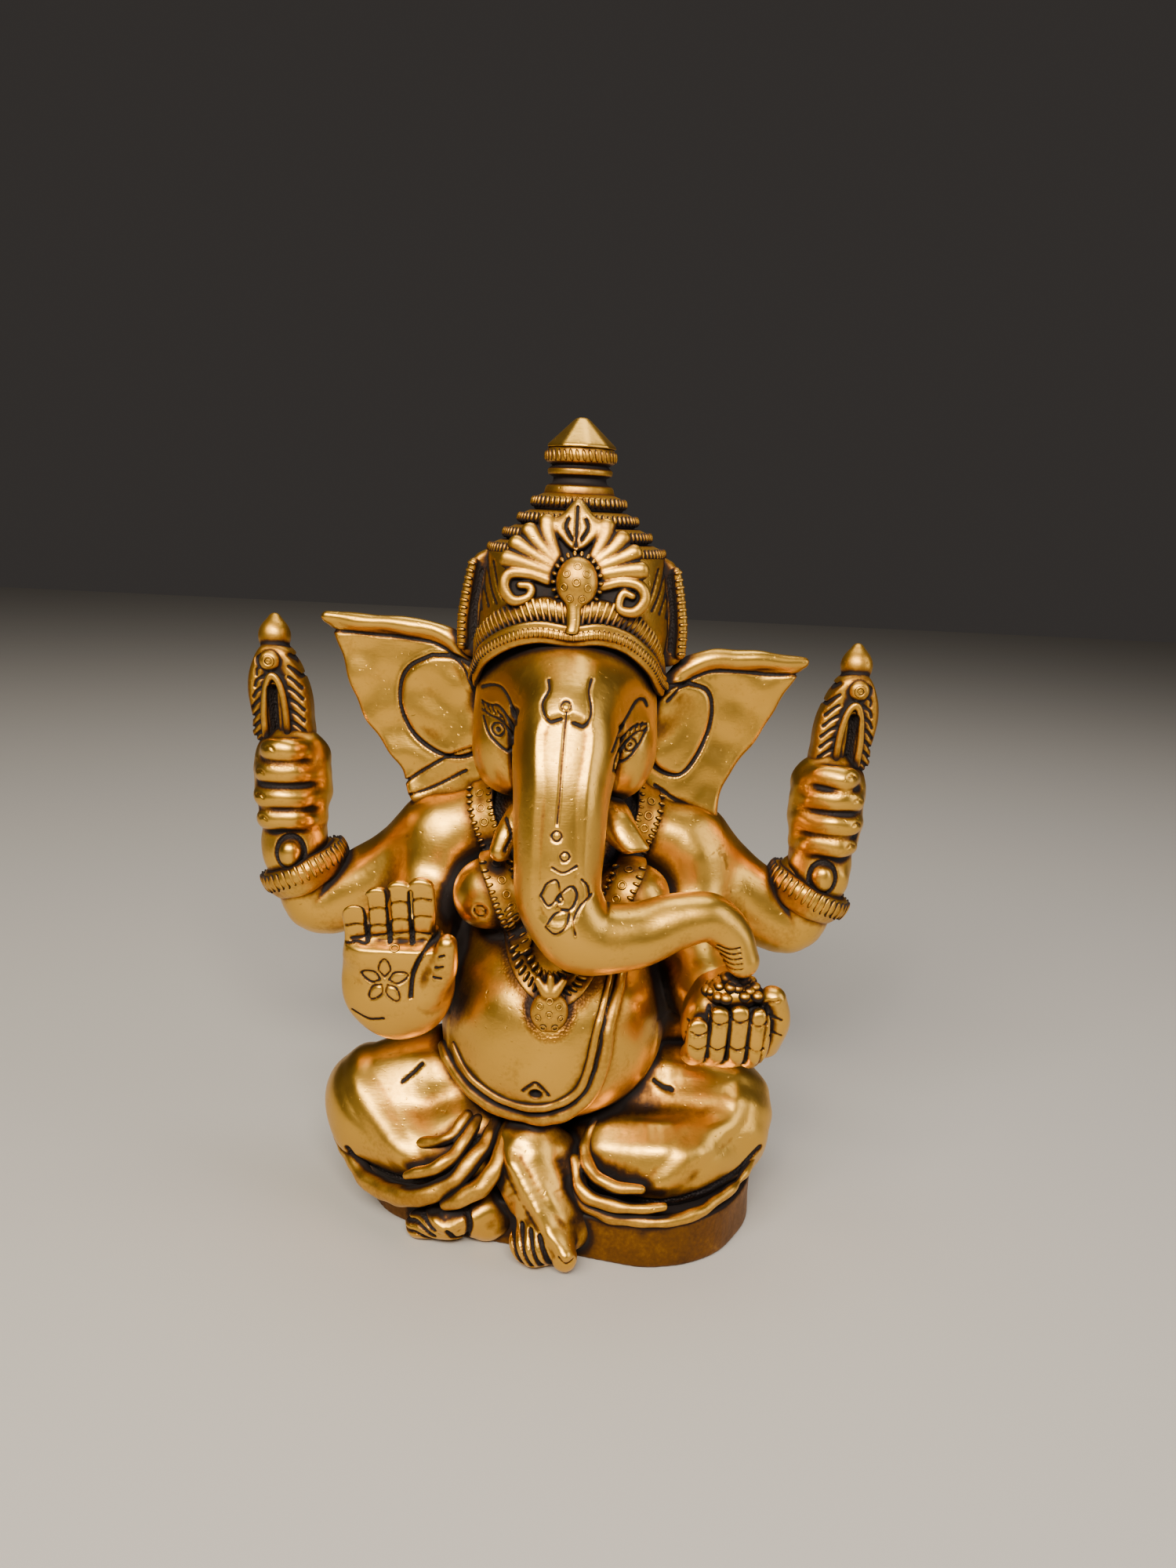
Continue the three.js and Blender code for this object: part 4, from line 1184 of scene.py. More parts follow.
def make_tiers():
    for i, (r, z, h) in enumerate(TIERS):
        clay = Clay((-r - 3, -r - 2, z - 2), (r + 3, r + 5, z + h + 2), 0.3)
        turned(clay, [(r - 1.6, z - 0.4), (r - 0.5, z + 0.3), (r - 0.15, z + h / 2), (r - 0.6, z + h - 0.8),
                      (r - 2.4, z + h)],
               (0, 1.5), 0.97, 0.3)
        name = f"crown_tier_{i + 1}"
        cast(clay, name, "chased_brass")
        angles = np.linspace(0, 2 * math.pi, int(2 * math.pi * r / 1.15), endpoint=False)
        outs = np.column_stack([np.cos(angles), np.sin(angles), 0.15 + 0 * angles])
        spots = np.column_stack([(r - 0.35) * np.cos(angles), 1.5 + 0.97 * (r - 0.35) * np.sin(angles),
                                 z + h / 2 + 0 * angles])
        alongs = np.column_stack([-np.sin(angles), np.cos(angles), 0 * angles])
        add_rows(name, [row(NOTCH, spots, outs, alongs, (1.05, 1.05, 1.0), 0.12, seed=20 + i)])


def make_finial():
    clay = Clay((-10, -8, 133), (10, 12, 143), 0.25)
    turned(clay, [(6.6, 135.4), (6.5, 136.4), (6.2, 137.6), (5, 138.3), (4.8, 139.2), (5.9, 139.7),
                  (6, 140.6), (5.2, 141.2), (5.2, 142)], (0, 2), 1.0, 0.3)
    cast(clay, "finial_stem", "chased_brass")
    clay = Clay((-10, -8, 139), (10, 12, 147), 0.25)
    turned(clay, [(5.4, 141.4), (6.3, 142), (6.5, 143), (6.2, 144.2), (5, 144.8)], (0, 2), 1.0, 0.3)
    cast(clay, "finial_rope_ring", "chased_brass")
    angles = np.linspace(0, 2 * math.pi, 34, endpoint=False)
    outs = np.column_stack([np.cos(angles), np.sin(angles), 0 * angles])
    spots = outs * 6.05 + np.array([0, 2, 143])
    alongs = np.column_stack([-np.sin(angles), np.cos(angles), 0.25 + 0 * angles])
    add_rows("finial_rope_ring", [row(NOTCH, spots, outs, alongs, (1.15, 1.2, 1.1), 0.08, seed=31)])
    box = ((-10, -8, 142), (10, 12, 153))
    clay = Clay(*box, 0.25)
    facets = []
    _, (x, y, z) = clay.window(*box)
    field = 144.4 - z + 0 * x + 0 * y
    for angle in np.linspace(0, 2 * math.pi, 9, endpoint=False) + 0.35:
        flat = np.cos(angle) * x + np.sin(angle) * (y - 2)
        facets.append(0.7 * (flat - 6.1) + 0.71 * (z - 144.9))
        facets.append(flat - 6.25)
    for facet in facets:
        field = soft_max(field, facet + 0 * field, 0.35)
    clay.f = soft_max(field, z - (HEIGHT - 0.1) + 0 * field, 0.5).astype(np.float32)
    cast(clay, "finial_cone", "polished_brass")


make_dome()
make_tiers()
make_finial()


# %% Flower and jewel in front, wings at the sides
def slab(clay, outline, front, thick, k=0.8):
    """Adds a plate with an outline drawn from the front; front gives its depth from z."""
    path = curve(outline, 5, True)
    low = (path[:, 0].min(), front(path[:, 1].max()) - 3, path[:, 1].min())
    high = (path[:, 0].max(), front(path[:, 1].min()) + thick + 3, path[:, 1].max())
    where, (x, y, z) = clay.window(np.array(low) - REACH, np.array(high) + REACH)
    sheet = from_outline(x[:, 0, :], z[:, 0, :], path)[:, None, :]
    plate = soft_max(np.abs(y - front(z) - thick / 2) - thick / 2, sheet, k)
    clay.f[where] = soft_min(clay.f[where], plate.astype(np.float32), 0.3)


def make_flower():
    def lean(z):
        return -17.6 + 0.16 * (z - 117) + 0.012 * np.maximum(z - 121, 0) ** 2

    clay = Clay((-16, -24, 112), (16, -4, 138), 0.24)
    slab(clay, [(-3.4, 116.6), (-10, 117), (-12, 120.6), (-10.6, 124), (-9.4, 127.6), (-5.6, 130),
                (-3, 131.6), (0, 135.2), (3, 131.6), (5.6, 129.6), (9.2, 127), (10.4, 123.4), (12, 119.6),
                (9.6, 116.2), (3.4, 116.2)], lean, 5, 0.8)

    def at(path, rise=0.4):
        return [(x, float(lean(np.float32(z))) - rise, z) for x, z in path]

    for side, volute in ((-1, [(-4.6, 121.5), (-8, 122.4), (-11.3, 122.3), (-12.1, 120), (-10.4, 117.9),
                               (-7.8, 118.6), (-7.6, 120.3), (-9.4, 120.5)]),
                         (1, [(4.2, 120.8), (8.3, 121.8), (11.2, 121.1), (12, 118.9), (10.3, 116.9),
                              (7.7, 117.3), (8.2, 119.9), (9.9, 119.5)])):
        clay.add(limb(at(volute), [0.95, 1.05, 1.1, 1.1, 1, 0.9, 0.8, 0.7]), 0.3)
    petals = [[(-3.4, 125.4), (-5, 129), (-5.2, 131)], [(-3.7, 124.6), (-6.8, 127.6), (-8.1, 129.4)],
              [(-4.2, 123.8), (-8.2, 126), (-10.2, 127.2)], [(-4.6, 122.8), (-9.4, 124.2), (-11.6, 124.7)],
              [(3, 125.6), (4.6, 128.8), (4.9, 130.7)], [(3.6, 124.8), (6.4, 127.2), (7.6, 128.8)],
              [(4.2, 124), (7.8, 125.6), (9.7, 126.6)], [(4.6, 122.8), (8.8, 123.6), (11, 123.8)]]
    for petal in petals:
        clay.add(limb(at(petal), [1.0, 1.75, 1.6], flat=(1, 0.8, 1)), 0.1)
    leaf = [(0, 126.4), (-3, 128.6), (-4.6, 131.2), (-2.6, 132.8), (0, 135.4), (2.6, 132.8), (4.4, 131.2),
            (3, 128.6)]
    slab(clay, leaf, lambda z: lean(z) - 1.6, 3, 1.2)
    clay.press([[(-0.2, 127.4), (-0.1, 134)], [(-0.8, 128.4), (-2, 130.4), (-1.6, 132)],
                [(0.7, 128.4), (1.8, 130.4), (1.4, 132)]],
               0.4, 0.7, (-24, -8), stain=0.4)
    cast(clay, "crown_flower", "chased_brass")
    clay = Clay((-7, -26, 113), (7, -12, 129), 0.22)
    clay.add(egg((0.3, -18.6, 121.4), (3.6, 2.4, 4.4), (-6, 0, 0)))
    clay.add(limb([(-0.1, -19.2, 117.2), (0, -19.8, 114.4), (-0.3, -20.4, 112.6)], [1.5, 1.2, 1.2]), 0.6)
    cast(clay, "crown_jewel", "chased_brass")
    holes = [(0.3, 124.2), (-1.5, 122.9), (1.9, 123), (-1.9, 120.7), (0.2, 121.6), (2.2, 120.7),
             (-0.8, 118.8), (1.3, 118.8)]
    spots, outs = on_surface(clay, holes)
    rim_angles = np.linspace(0, 2 * math.pi, 22, endpoint=False)
    rim = [(0.3 + 3.9 * math.cos(a), -18.3 + 0.3 * math.sin(a), 121.4 + 4.7 * math.sin(a))
           for a in rim_angles]
    rim_outs = np.array([(math.cos(a), -0.9, math.sin(a)) for a in rim_angles])
    rim_alongs = np.array([(-math.sin(a), 0, math.cos(a)) for a in rim_angles])
    add_rows("crown_jewel", [row(RING, spots, outs, (1, 0, 0), 0.95, seed=41),
                             row(NOTCH, rim, rim_outs, rim_alongs, (1.0, 0.8, 0.9), seed=42)])


def on_surface(clay, flat, lift=0.02):
    """Where (x, z) places seen from the front fall on the clay, and the way out there."""
    spots = clay.front(flat)
    outs = slope(clay, spots.astype(np.float32))
    return spots + outs * lift, outs


def make_wings():
    for name, side, inner in (("right_crown_wing", -1, 0.3), ("left_crown_wing", 1, 0)):
        edge = [(15, 106.4), (20.2, 106.8), (20.4, 113.4), (19.6, 119), (18.8, 123.4), (17.4, 125.2),
                (15, 125), (14.4, 116)]
        outline = [(side * (a + inner), b) for a, b in edge]
        low, high = sorted([side * 12, side * 26])
        clay = Clay((low, -8, 103), (high, 12, 129), 0.26)
        slab(clay, outline, lambda z: -2.4 + 0 * z, 8, 1.4)
        ridge = [(side * (a + inner), -2.2, b)
                 for a, b in ((20, 108.4), (20, 113.4), (19.2, 119), (18.4, 123.2))]
        clay.add(limb(ridge, [1.1, 1.2, 1.1, 0.9]), 0.3)
        clay.press([[(side * 18.2, 109), (side * 18.2, 116), (side * 17.2, 122)]], 0.6, 0.6, (-8, 12),
                   stain=0.6)
        cast(clay, name, "chased_brass")
        spots, ahead = evenly([(a + side * 0.3, b - 0.9, c) for a, b, c in ridge], 1.25)
        add_rows(name, [row(NOTCH, spots, (side * 0.5, -1, 0.1), ahead, (0.95, 1.0, 0.9), seed=50)])


make_flower()
make_wings()

# %% [markdown]
# ## Raised back hands
# Each fist is four stacked finger rolls wrapped round the stem of the emblem it holds, with a notched
# ring for a cuff at the wrist. The emblems are flames with ribbed sides and an arched slot.

# %% Cuffs, fists and emblems
def make_back_hand(name, side, x, top):
    drop = 88 - top
    clay = Clay(*sorted_box(side, (x - 14, -14, 54 - drop), (x + 12, 16, 94 - drop)), 0.27)
    middle = side * (x - 1.4)
    clay.add(egg((middle, 4.6, 78 - drop), (7.4, 6, 12)))
    clay.add(limb([(side * (x - 3.6), 5, 58 - drop), (side * (x - 2.4), 4.6, 68 - drop)], [4.8, 5.4]), 2)
    clay.add(egg((middle, 4.6, 84.4 - drop), (7.2, 5.8, 5.2)), 2)
    clay.add(egg((middle, 2.8, 66.4 - drop), (5.8, 5.2, 7)), 2)
    widths = [(3.6, 86.2, 2.3), (4.9, 81.9, 2.45), (5.2, 77.3, 2.45), (4.6, 72.8, 2.3)]
    for w, z, r in widths:
        z -= drop
        roll = [(middle - side * w, 4.6, z - 0.6), (middle - side * w * 0.6, -0.2, z + 0.1),
                (middle + side * w * 0.1, -2.0, z + 0.3), (middle + side * w * 0.75, -0.6, z),
                (middle + side * w, 4, z - 0.5)]
        clay.add(limb(roll, [r * 0.85, r, r, r, r * 0.85]), 0.9)
    tip = (middle - side * 0.8, 66.4 - drop)
    clay.press([[(tip[0] + 2.5 * math.cos(a), tip[1] + 3.3 * math.sin(a)) for a in np.linspace(0, 5.5, 8)]],
               0.55, 0.7, (-8, 4), stain=0.4, closed=True)
    clay.add(egg((tip[0], -1.6, tip[1] - 0.3), (2.1, 2, 2.9)), 0.3)
    nails = [(middle + side * dx, z - drop) for dx, z in ((2.6, 86.4), (4.4, 81.6), (4.6, 77), (4, 72.6))]
    for a, b in nails:
        clay.press([[(a - 0.9, b + 0.7), (a, b + 1.1), (a + 0.9, b + 0.6)]], 0.3, 0.28, (-8, 6))
    clay.ripple(0.2, 5, 12)
    creases = [[(middle - 6, z - 2.2 - drop), (middle + 6, z - 2.2 - drop)] for _, z, _ in widths]
    clay.stain(creases, 0.8, 0.2, (-6, 8))
    cast(clay, f"{name}_fist", "polished_brass")
    make_cuff(name, side, x, drop)
    make_emblem(name, side, x, drop)


def make_cuff(name, side, x, drop):
    clay = Clay(*sorted_box(side, (x - 16, -8, 50 - drop), (x + 11, 18, 76 - drop)), 0.27)
    centre = np.array([side * (x - 3.6), 4.8, 62 - drop])
    tilt = math.radians(26) * side
    across = np.array([math.cos(tilt), 0, math.sin(-tilt)])
    axis = np.array([math.sin(tilt), 0, math.cos(tilt)])
    angles = np.linspace(0, 2 * math.pi, 29)
    outs = np.array([across * math.cos(a) + np.array([0, 1, 0]) * math.sin(a) for a in angles])
    clay.add(limb([tuple(centre + o * 6.8) for o in outs], [2.2], steps=1))
    clay.add(limb([tuple(centre + o * 6.0 - axis * 2.6) for o in outs], [1.7], steps=1), 1.6)
    clay.ripple(0.15, 5, 13)
    cast(clay, f"{name}_cuff", "chased_brass")
    count = 38
    angles = np.linspace(0, 2 * math.pi, count, endpoint=False)
    outs = np.array([across * math.cos(a) + np.array([0, 1, 0]) * math.sin(a) for a in angles])
    alongs = np.array([-across * math.sin(a) + np.array([0, 1, 0]) * math.cos(a) for a in angles])
    add_rows(f"{name}_cuff", [row(NOTCH, centre + outs * 8.6 + axis * 0.2, outs, alongs, (1.15, 2.1, 0.9),
                                  0.15, seed=60)])


def make_emblem(name, side, x, drop):
    def at(path):
        return [(side * a, b, c - drop) for a, b, c in path]

    clay = Clay(*sorted_box(side, (x - 9, -4, 83 - drop), (x + 12, 16, 115 - drop)), 0.23)
    leaf = [(-4.6, 87), (-5.2, 92), (-4.7, 96.8), (-3.2, 101), (-1.4, 104.6), (1.4, 106), (4.6, 105.4),
            (6.6, 101.3), (7.1, 97), (6.3, 92), (5.2, 87)]
    slab(clay, [(side * (x + a), b - drop) for a, b in leaf], lambda z: 2.4 + 0 * z, 6, 2.2)
    ribs = []
    for i in range(8):
        z = 88 + 2.1 * i - drop
        w = 1 - max(i - 3, 0) * 0.06
        ribs += [[(side * (x - 1.1), z + 1.4), (side * (x - 2.6 * w), z + 0.6),
                  (side * (x - 4.1 * w), z - 0.7)],
                 [(side * (x + 3.4), z + 1.4), (side * (x + 4.8), z + 0.6), (side * (x + 6 * w), z - 0.7)]]
    clay.press(ribs, 0.42, 0.42, (-4, 9), stain=0.05)
    clay.add(egg(at([(x + 2.4, 6.4, 107.2)])[0], (3.1, 2.9, 3.4)), 0.5)
    clay.add(limb(at([(x + 2.4, 6.6, 108.4), (x + 2.5, 7, 110.3)]), [2.1, 1.3]), 0.8)
    arch = [(x - 1, 2.2, 88.4), (x - 0.6, 1.8, 94), (x + 0.4, 1.8, 98.4), (x + 1.9, 1.8, 100.2),
            (x + 3, 1.8, 98), (x + 3.4, 1.8, 93), (x + 3.2, 2.2, 88.4)]
    clay.add(limb(at(arch), [0.7]), 0.2)
    slot_line = [(side * (x + 1.4), 88 - drop), (side * (x + 1.7), 93 - drop),
                 (side * (x + 1.9), 97.6 - drop)]
    clay.press([slot_line], 0.9, 1.8, (-4, 6), stain=0.9)
    clay.add(egg(at([(x + 2.4, 2.4, 102.9)])[0], (2.0, 1.2, 2.0)), 0.3)
    cast(clay, f"{name}_emblem", "chased_brass")
    spots, outs = on_surface(clay, [(side * (x + 2.4), 102.9 - drop)])
    add_rows(f"{name}_emblem", [row(RING, spots, outs, (1, 0, 0), 1.5, seed=70),
                                row(RING, spots, outs, (1, 0, 0), 0.6, seed=71)])


make_back_hand("right", -1, 55, 88)
make_back_hand("left", 1, 53, 87.4)

# %% [markdown]
# ## Front hands
# The right hand blesses, palm forward. The left is cupped and holds small round sweets.

# %% Blessing hand
def make_blessing_hand():
    clay = Clay((-44, -34, 34), (-12, -14, 76), 0.26)
    palm = egg((-28.6, -22.6, 49.4), (10.2, 4.6, 11)) + limb([(-34, -23.4, 56), (-24, -23.4, 57)], [3.8, 3.8])
    clay.add(palm[:1])
    clay.add(palm[1:], 3)
    clay.add(limb([(-28.4, -19, 46), (-28, -17, 52)], [7, 6]), 2)
    parts = {"right_palm": clay.f.copy()}
    tops = [(-35.6, 65.4), (-31.6, 68.8), (-27.8, 70.2), (-24.2, 71)]
    fingers = []
    for i, (x, top) in enumerate(tops):
        base = -35.6 + 3.9 * i
        fingers += limb([(base, -24, 55), (base * 0.5 + x * 0.5, -25, 61.5), (x, -27.2, top - 2.2)],
                        [2.35, 2.4, 2.3], flat=(1, 0.85, 0.8))
    clay.add(fingers, 0.7)
    rounded = clay.f.copy()
    clay.slice_off((-30, -26.5, 62), (0, -1, -0.25), 0.8)
    _, (x, y, z) = clay.window((-44, -34, 34), (-12, -14, 76))
    flattened = np.clip((z - 57) / 1.6, 0, 1)
    clay.f = rounded + (clay.f - rounded) * flattened
    parts["right_fingers"] = spread(clay, fingers)
    thumb = limb([(-22.6, -24, 48), (-20.2, -25.4, 53), (-19.6, -26.8, 58.6)], [2.8, 2.4, 1.7])
    clay.add(thumb, 1.2)
    parts["right_thumb"] = spread(clay, thumb)
    gaps = [[(-33.6 + 3.9 * i, 58.2), (-33.7 + 3.9 * i, 62), (-33.8 + 3.9 * i, 66.6 + 1.4 * min(i, 1))]
            for i in range(3)]
    clay.press(gaps, 0.5, 0.7, (-34, -14), stain=0.9)
    joints = []
    for i, (x, top) in enumerate(tops):
        for z in (top - 4.2, top - 7.6):
            joints.append([(x - 1.7, z - 0.3), (x, z + 0.2), (x + 1.7, z)])
    clay.press(joints, 0.34, 0.32, (-34, -14), stain=0.5)
    clay.press([[(-36.6, 58.4), (-31, 59.4), (-26, 60), (-22.6, 59.8)]], 0.4, 0.4, (-34, -14), stain=0.15)
    clay.press([[(-21.4, 59.4), (-23.9, 56.4), (-25.4, 52.8), (-25.8, 48.4)]], 0.5, 0.7, (-34, -14),
               stain=0.4)
    clay.press([[(-20.8, 56.6), (-19.8, 57)], [(-21.4, 54.4), (-20, 54.8)], [(-21.8, 52.4), (-20.4, 52.4)]],
               0.36, 0.5, (-34, -14))
    petals = []
    for angle in range(0, 360, 72):
        a = math.radians(angle + 18)
        c, s = math.cos(a), math.sin(a)
        petals.append([(-30.4 + c * u - s * v, 51.2 + s * u + c * v) for u, v in
                       ((0.8, 0), (2, 1.0), (3.6, 0.7), (4.3, 0), (3.6, -0.7), (2, -1.0), (0.8, 0))])
    clay.press(petals, 0.32, 0.34, (-34, -14))
    clay.press([[(-36.4, 44.6), (-33.4, 43.4), (-30.6, 43.8)]], 0.36, 0.45, (-34, -14))
    clay.ripple(0.16, 6, 14)
    shares = split(clay, parts, 0.4)
    for name in parts:
        cast(shares[name], name, "polished_brass", whole=clay)
    spots, outs = on_surface(clay, [(-28.7, 57.4)])
    add_rows("right_palm", [row(RING, spots, outs, (1, 0, 0), 1.2, seed=80)])


make_blessing_hand()


# %% Offering hand and sweets
def make_offering_hand():
    clay = Clay((18, -36, 30), (46, -10, 60), 0.26)
    clay.add(egg((31.6, -20.6, 43.2), (8.8, 5.4, 8.6)))
    clay.add(limb([(29.5, -16, 46), (31, -19, 44)], [6, 6]), 2)
    parts = {"left_palm": clay.f.copy()}
    bases = [(25.4, 46.4), (28.9, 48.6), (32.5, 49.2), (35.9, 48.6)]
    fingers = []
    for i, (x, top) in enumerate(bases):
        fingers += limb([(x - 0.2, -23.2, 38), (x, -26.6, 41), (x + 0.1, -27.2, top - 1.8)], [2.2, 2.3, 2.1])
    clay.add(fingers, 0.5)
    clay.slice_off((32, -28.4, 45), (0, -1, 0), 0.8)
    parts["left_fingers"] = spread(clay, fingers)
    thumb = limb([(38.4, -20.6, 39.6), (39.8, -23, 45), (38.8, -24.6, 50)], [3.2, 2.9, 2.2])
    clay.add(thumb, 0.8)
    parts["left_thumb"] = spread(clay, thumb)
    clay.press([[(27.4, 47.9), (27.2, 39.6)], [(30.9, 48.2), (30.6, 38.6)], [(34.4, 48.6), (34.1, 37.6)],
                [(37.4, 49.4), (37.1, 44), (36.6, 37)]], 0.4, 0.5, (-36, -14), stain=0.3)
    joints = []
    for x, top in bases:
        joints += [[(x - 1.4, top - 2), (x, top - 2.5), (x + 1.4, top - 2)],
                   [(x - 1.4, 41.8), (x, 41.3), (x + 1.4, 41.8)]]
    joints += [[(38, 47.4), (40.4, 46.4)], [(38, 44.2), (40.8, 43)], [(37.6, 50), (39.6, 50.4)]]
    clay.press(joints, 0.36, 0.35, (-36, -14), stain=0.2)
    clay.ripple(0.16, 6, 15)
    shares = split(clay, parts, 0.4)
    for name in parts:
        cast(shares[name], name, "polished_brass", whole=clay)
    clay = Clay((22, -34, 42), (44, -12, 62), 0.26)
    clay.add(egg((31.8, -22.6, 50), (5.2, 4.2, 3)))
    cast(clay, "sweets", "chased_brass")
    rng = np.random.default_rng(16)
    spots = []
    heap = ((14, 4.8, 0.4), (11, 3.5, 1.8), (7, 1.9, 3), (1, 0, 3.4))
    for ring, (count, spread_out, rise) in enumerate(heap):
        for i in range(count):
            a = 2 * math.pi * i / count + 0.4 * ring + rng.uniform(-0.2, 0.2)
            away = spread_out * rng.uniform(0.85, 1.1)
            spots.append((31.8 + away * math.cos(a), -23.4 + 0.8 * away * math.sin(a),
                          50 + rise + rng.uniform(-0.5, 0.5)))
    add_rows("sweets", [row(BEAD, spots, (0, -0.4, 1), (1, 0, 0), (1.25, 1.2, 1.1), 0.3, seed=90)])


make_offering_hand()

# %% [markdown]
# ## What is worn
# Collars hug the shoulders, a double rope carries the pendant, and the sacred thread runs round the
# belly from under the trunk.

# %% Collars, necklace, pendant and thread
def laid(name, path, half_width, height, reach):
    """A strip of metal laid on the body along a front-view path."""
    cast(BODY.band(path, half_width, height, reach), name, "chased_brass")


def along_body(path, gap, lift):
    """Marks along a front-view path, on the body's surface."""
    line, _ = evenly([(x, 0, z) for x, z in path], gap)
    flat = line[:, [0, 2]]
    spots = BODY.front(flat)
    outs = slope(BODY, spots.astype(np.float32))
    ahead = np.gradient(spots, axis=0)
    return spots + outs * lift, outs, ahead / (np.linalg.norm(ahead, axis=1, keepdims=True) + 1e-9)


def make_worn():
    for name, side in (("right_collar", -1), ("left_collar", 1)):
        drawn = ((15.8, 84), (15.8, 78), (13.8, 72.4), (11, 67), (8.9, 61.6), (7.2, 57))
        line = [(side * a, b) for a, b in drawn]
        laid(name, line, 2.4, 1.1, (-34, 4))
        edges = []
        for shift in (-2.1, 2.1):
            edge = [(side * (a + shift), b) for a, b in drawn]
            spots, outs, ahead = along_body(edge, 1.0, 1.1)
            edges.append(row(NOTCH, spots, outs, ahead, (0.95, 0.75, 0.9), seed=100))
        spots, outs, ahead = along_body(line, 2.1, 1.15)
        add_rows(name, edges + [row(RING, spots, outs, ahead, 1.15, seed=101)])
    chain = [(-9.9, 63), (-8.6, 56), (-5.6, 51.8), (-1.2, 49.4), (3, 50.6), (6.4, 54.6), (8.6, 60)]
    inner = [(-7.6, 61), (-6.2, 55.6), (-3.4, 52.6), (-0.8, 52), (1.6, 52.6), (4, 55.4), (6.4, 60)]
    laid("necklace", chain, 1.7, 0.5, (-36, 0))
    rows = []
    for path, seed in ((chain, 110), (inner, 111)):
        spots, outs, ahead = along_body(path, 0.95, 0.8)
        slant = ahead + 0.45 * np.cross(outs, ahead)
        rows.append(row(NOTCH, spots, outs, slant, (1.05, 1.15, 1.35), 0.1, seed=seed))
    add_rows("necklace", rows)
    clay = Clay((-9, -40, 40), (7, -22, 57), 0.22)
    y = float(BODY.front([(-1.2, 47)])[0, 1])
    clay.add(egg((-1.2, y - 0.2, 47.2), (3.4, 1.7, 4)))
    for x0, z0, x1, z1 in ((-1.2, 51, -1.2, 53.8), (-1.9, 51, -3.4, 53.2), (-0.5, 51, 1, 53.2)):
        clay.add(limb([(x0, y - 0.6, z0), (x1, y - 0.3, z1)], [1.1, 0.7]), 0.2)
    cast(clay, "pendant", "chased_brass")
    holes = [(-1.2, 49.8), (-2.9, 48.8), (0.5, 48.8), (-3.2, 46.6), (-1.2, 47.4), (0.9, 46.6), (-2.2, 44.8),
             (-0.1, 44.8)]
    spots, outs = on_surface(clay, holes)
    add_rows("pendant", [row(RING, spots, outs, (1, 0, 0), 0.85, seed=120)])
    thread = [(12.4, 56), (11, 50), (9.4, 44.6), (8.6, 38), (6.8, 32.4), (2.6, 28), (-2.4, 26.2),
              (-8.2, 26.2), (-14.2, 28.2), (-18.6, 31), (-20.6, 33.6)]
    spots, outs, _ = along_body(thread, 1.6, 0.3)
    clay = Clay((-26, -36, 20), (16, -6, 60), 0.27)
    clay.add(limb(spots, [0.9, 1.2, 1.3, 1.4, 1.5, 1.5, 1.4, 1.2], steps=2))
    inner = [(10.2, 55), (8.6, 49), (7.2, 43.6), (6.2, 37.6), (4.6, 33), (1.2, 30.2), (-2.8, 28.9),
             (-7.8, 28.9), (-12.8, 30.6), (-16.6, 33.2), (-18.6, 36)]
    spots, outs, _ = along_body(inner, 1.6, 0.1)
    clay.add(limb(spots, [0.5, 0.8, 0.9, 0.9, 0.8, 0.6], steps=2), 0.1)
    cast(clay, "belly_thread", "chased_brass")


make_worn()
print("pieces", len(PIECES))

# %% [markdown]
# ## Shade between pieces
# The colour also darkens where two pieces face each other closely, such as under the trunk or behind the
# ears: lacquer that stays there, and painted shade. The coarse grid of the whole figure gives that, at
# three distances from each surface.

# %% Hollow: lacquer and painted shade, for every piece
SHADES = ((1.6, 0.52), (3.2, 0.3), (5, 0.1))  # how far off in mm, and how much it counts
SHADE_STRENGTH, OPEN_FLOOR = 1.15, 0.1


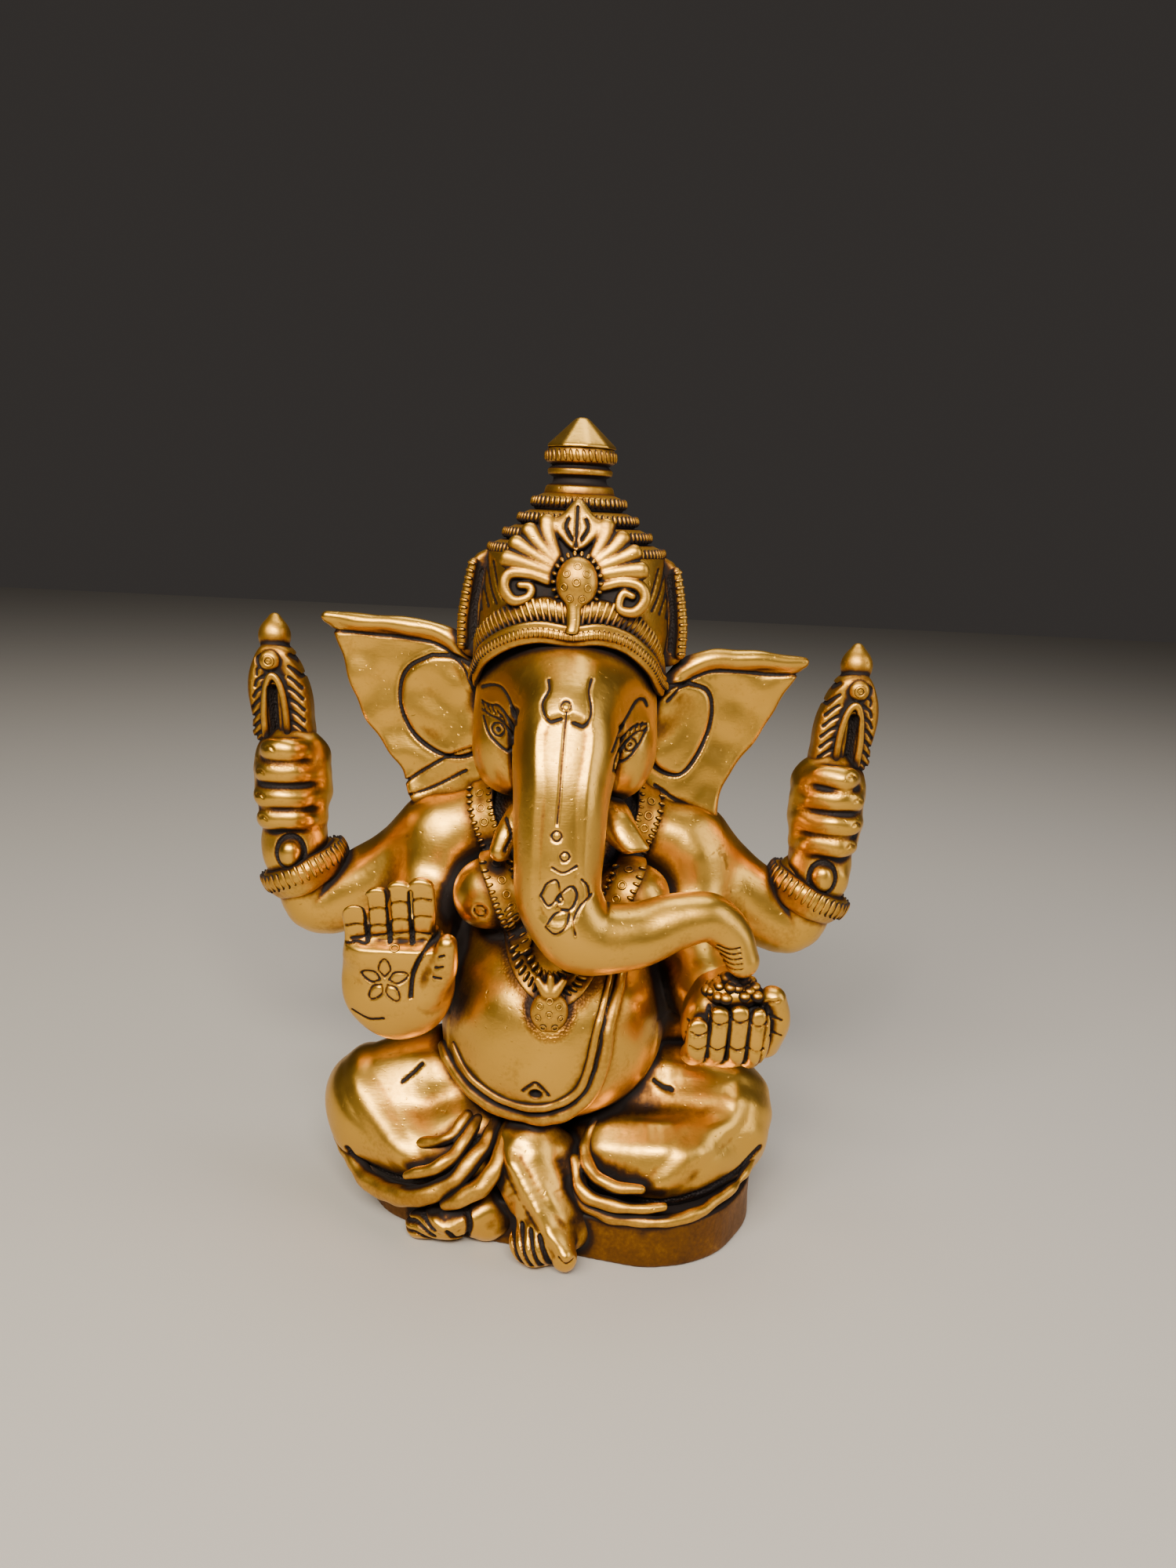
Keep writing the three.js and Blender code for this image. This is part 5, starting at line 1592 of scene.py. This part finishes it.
def shade_all():
    for obj, own in PIECES.values():
        points = corners(obj)
        normals = np.empty(len(points) * 3, np.float32)
        obj.data.vertices.foreach_get("normal", normals)
        normals = normals.reshape(-1, 3)
        closed = 0
        # painted shade: the colour darkens where the room off the surface is shut in by other pieces, added
        # to each piece's own hollow
        for away, weight in SHADES:
            open_room = ROOM.sample(points + normals * away) / min(away, FAR)
            closed = closed + weight * np.clip(1 - open_room, 0, 1.4)
        paint(obj, "hollow", np.clip(own + SHADE_STRENGTH * (closed - OPEN_FLOOR), 0, 1.2))


shade_all()

# %% [markdown]
# ## Floor, light, and the templates put away
# A plain pale floor and soft light from panels: a key from the upper left, one high in front for the
# forehead and the trunk, a weaker one from the right and a long one overhead.

# %% Floor and light
HALF_FLOOR = 1.4
LIT_HEIGHT = 0.07  # every panel faces the figure at this height


def add_floor():
    mesh = bpy.data.meshes.new("floor")
    w = HALF_FLOOR
    mesh.from_pydata([(-w, -w, 0), (w, -w, 0), (w, w, 0), (-w, w, 0)], [], [(0, 1, 2, 3)])
    floor = bpy.data.objects.new("floor", mesh)
    bpy.context.collection.objects.link(floor)
    material = bpy.data.materials.new("pale floor")
    material.use_nodes = True
    shader = material.node_tree.nodes["Principled BSDF"]
    shader.inputs["Base Color"].default_value = linear("#ADA8A0")
    shader.inputs["Roughness"].default_value = 0.85
    mesh.materials.append(material)


def add_panel(name, place, size, power, tint="#FFFFFF"):
    data = bpy.data.lights.new(name, "AREA")
    data.shape, data.size, data.size_y = "RECTANGLE", size[0], size[1]
    data.energy, data.color = power, linear(tint)[:3]
    panel = bpy.data.objects.new(name, data)
    panel.location = place
    panel.rotation_euler = (Vector((0, 0, LIT_HEIGHT)) - Vector(place)).to_track_quat("-Z", "Y").to_euler()
    bpy.context.collection.objects.link(panel)


add_floor()
add_panel("key", (-0.32, -0.48, 0.55), (0.34, 0.26), 4.6, "#FFF6E8")
add_panel("front", (0.0, -0.44, 0.42), (0.3, 0.12), 5, "#FFF6E8")
add_panel("side", (0.6, -0.2, 0.3), (0.3, 0.5), 1.6, "#F4F1FF")
add_panel("overhead", (0.05, 0.15, 0.75), (0.5, 0.3), 2.3)
world = bpy.data.worlds.new("room")
bpy.context.scene.world = world
world.use_nodes = True
world.node_tree.nodes["Background"].inputs["Color"].default_value = linear("#4E4A47")
world.node_tree.nodes["Background"].inputs["Strength"].default_value = 0.5

# %% Templates put away
for mark in (NOTCH, FLUTE, RING, BEAD):
    bpy.data.objects.remove(mark)
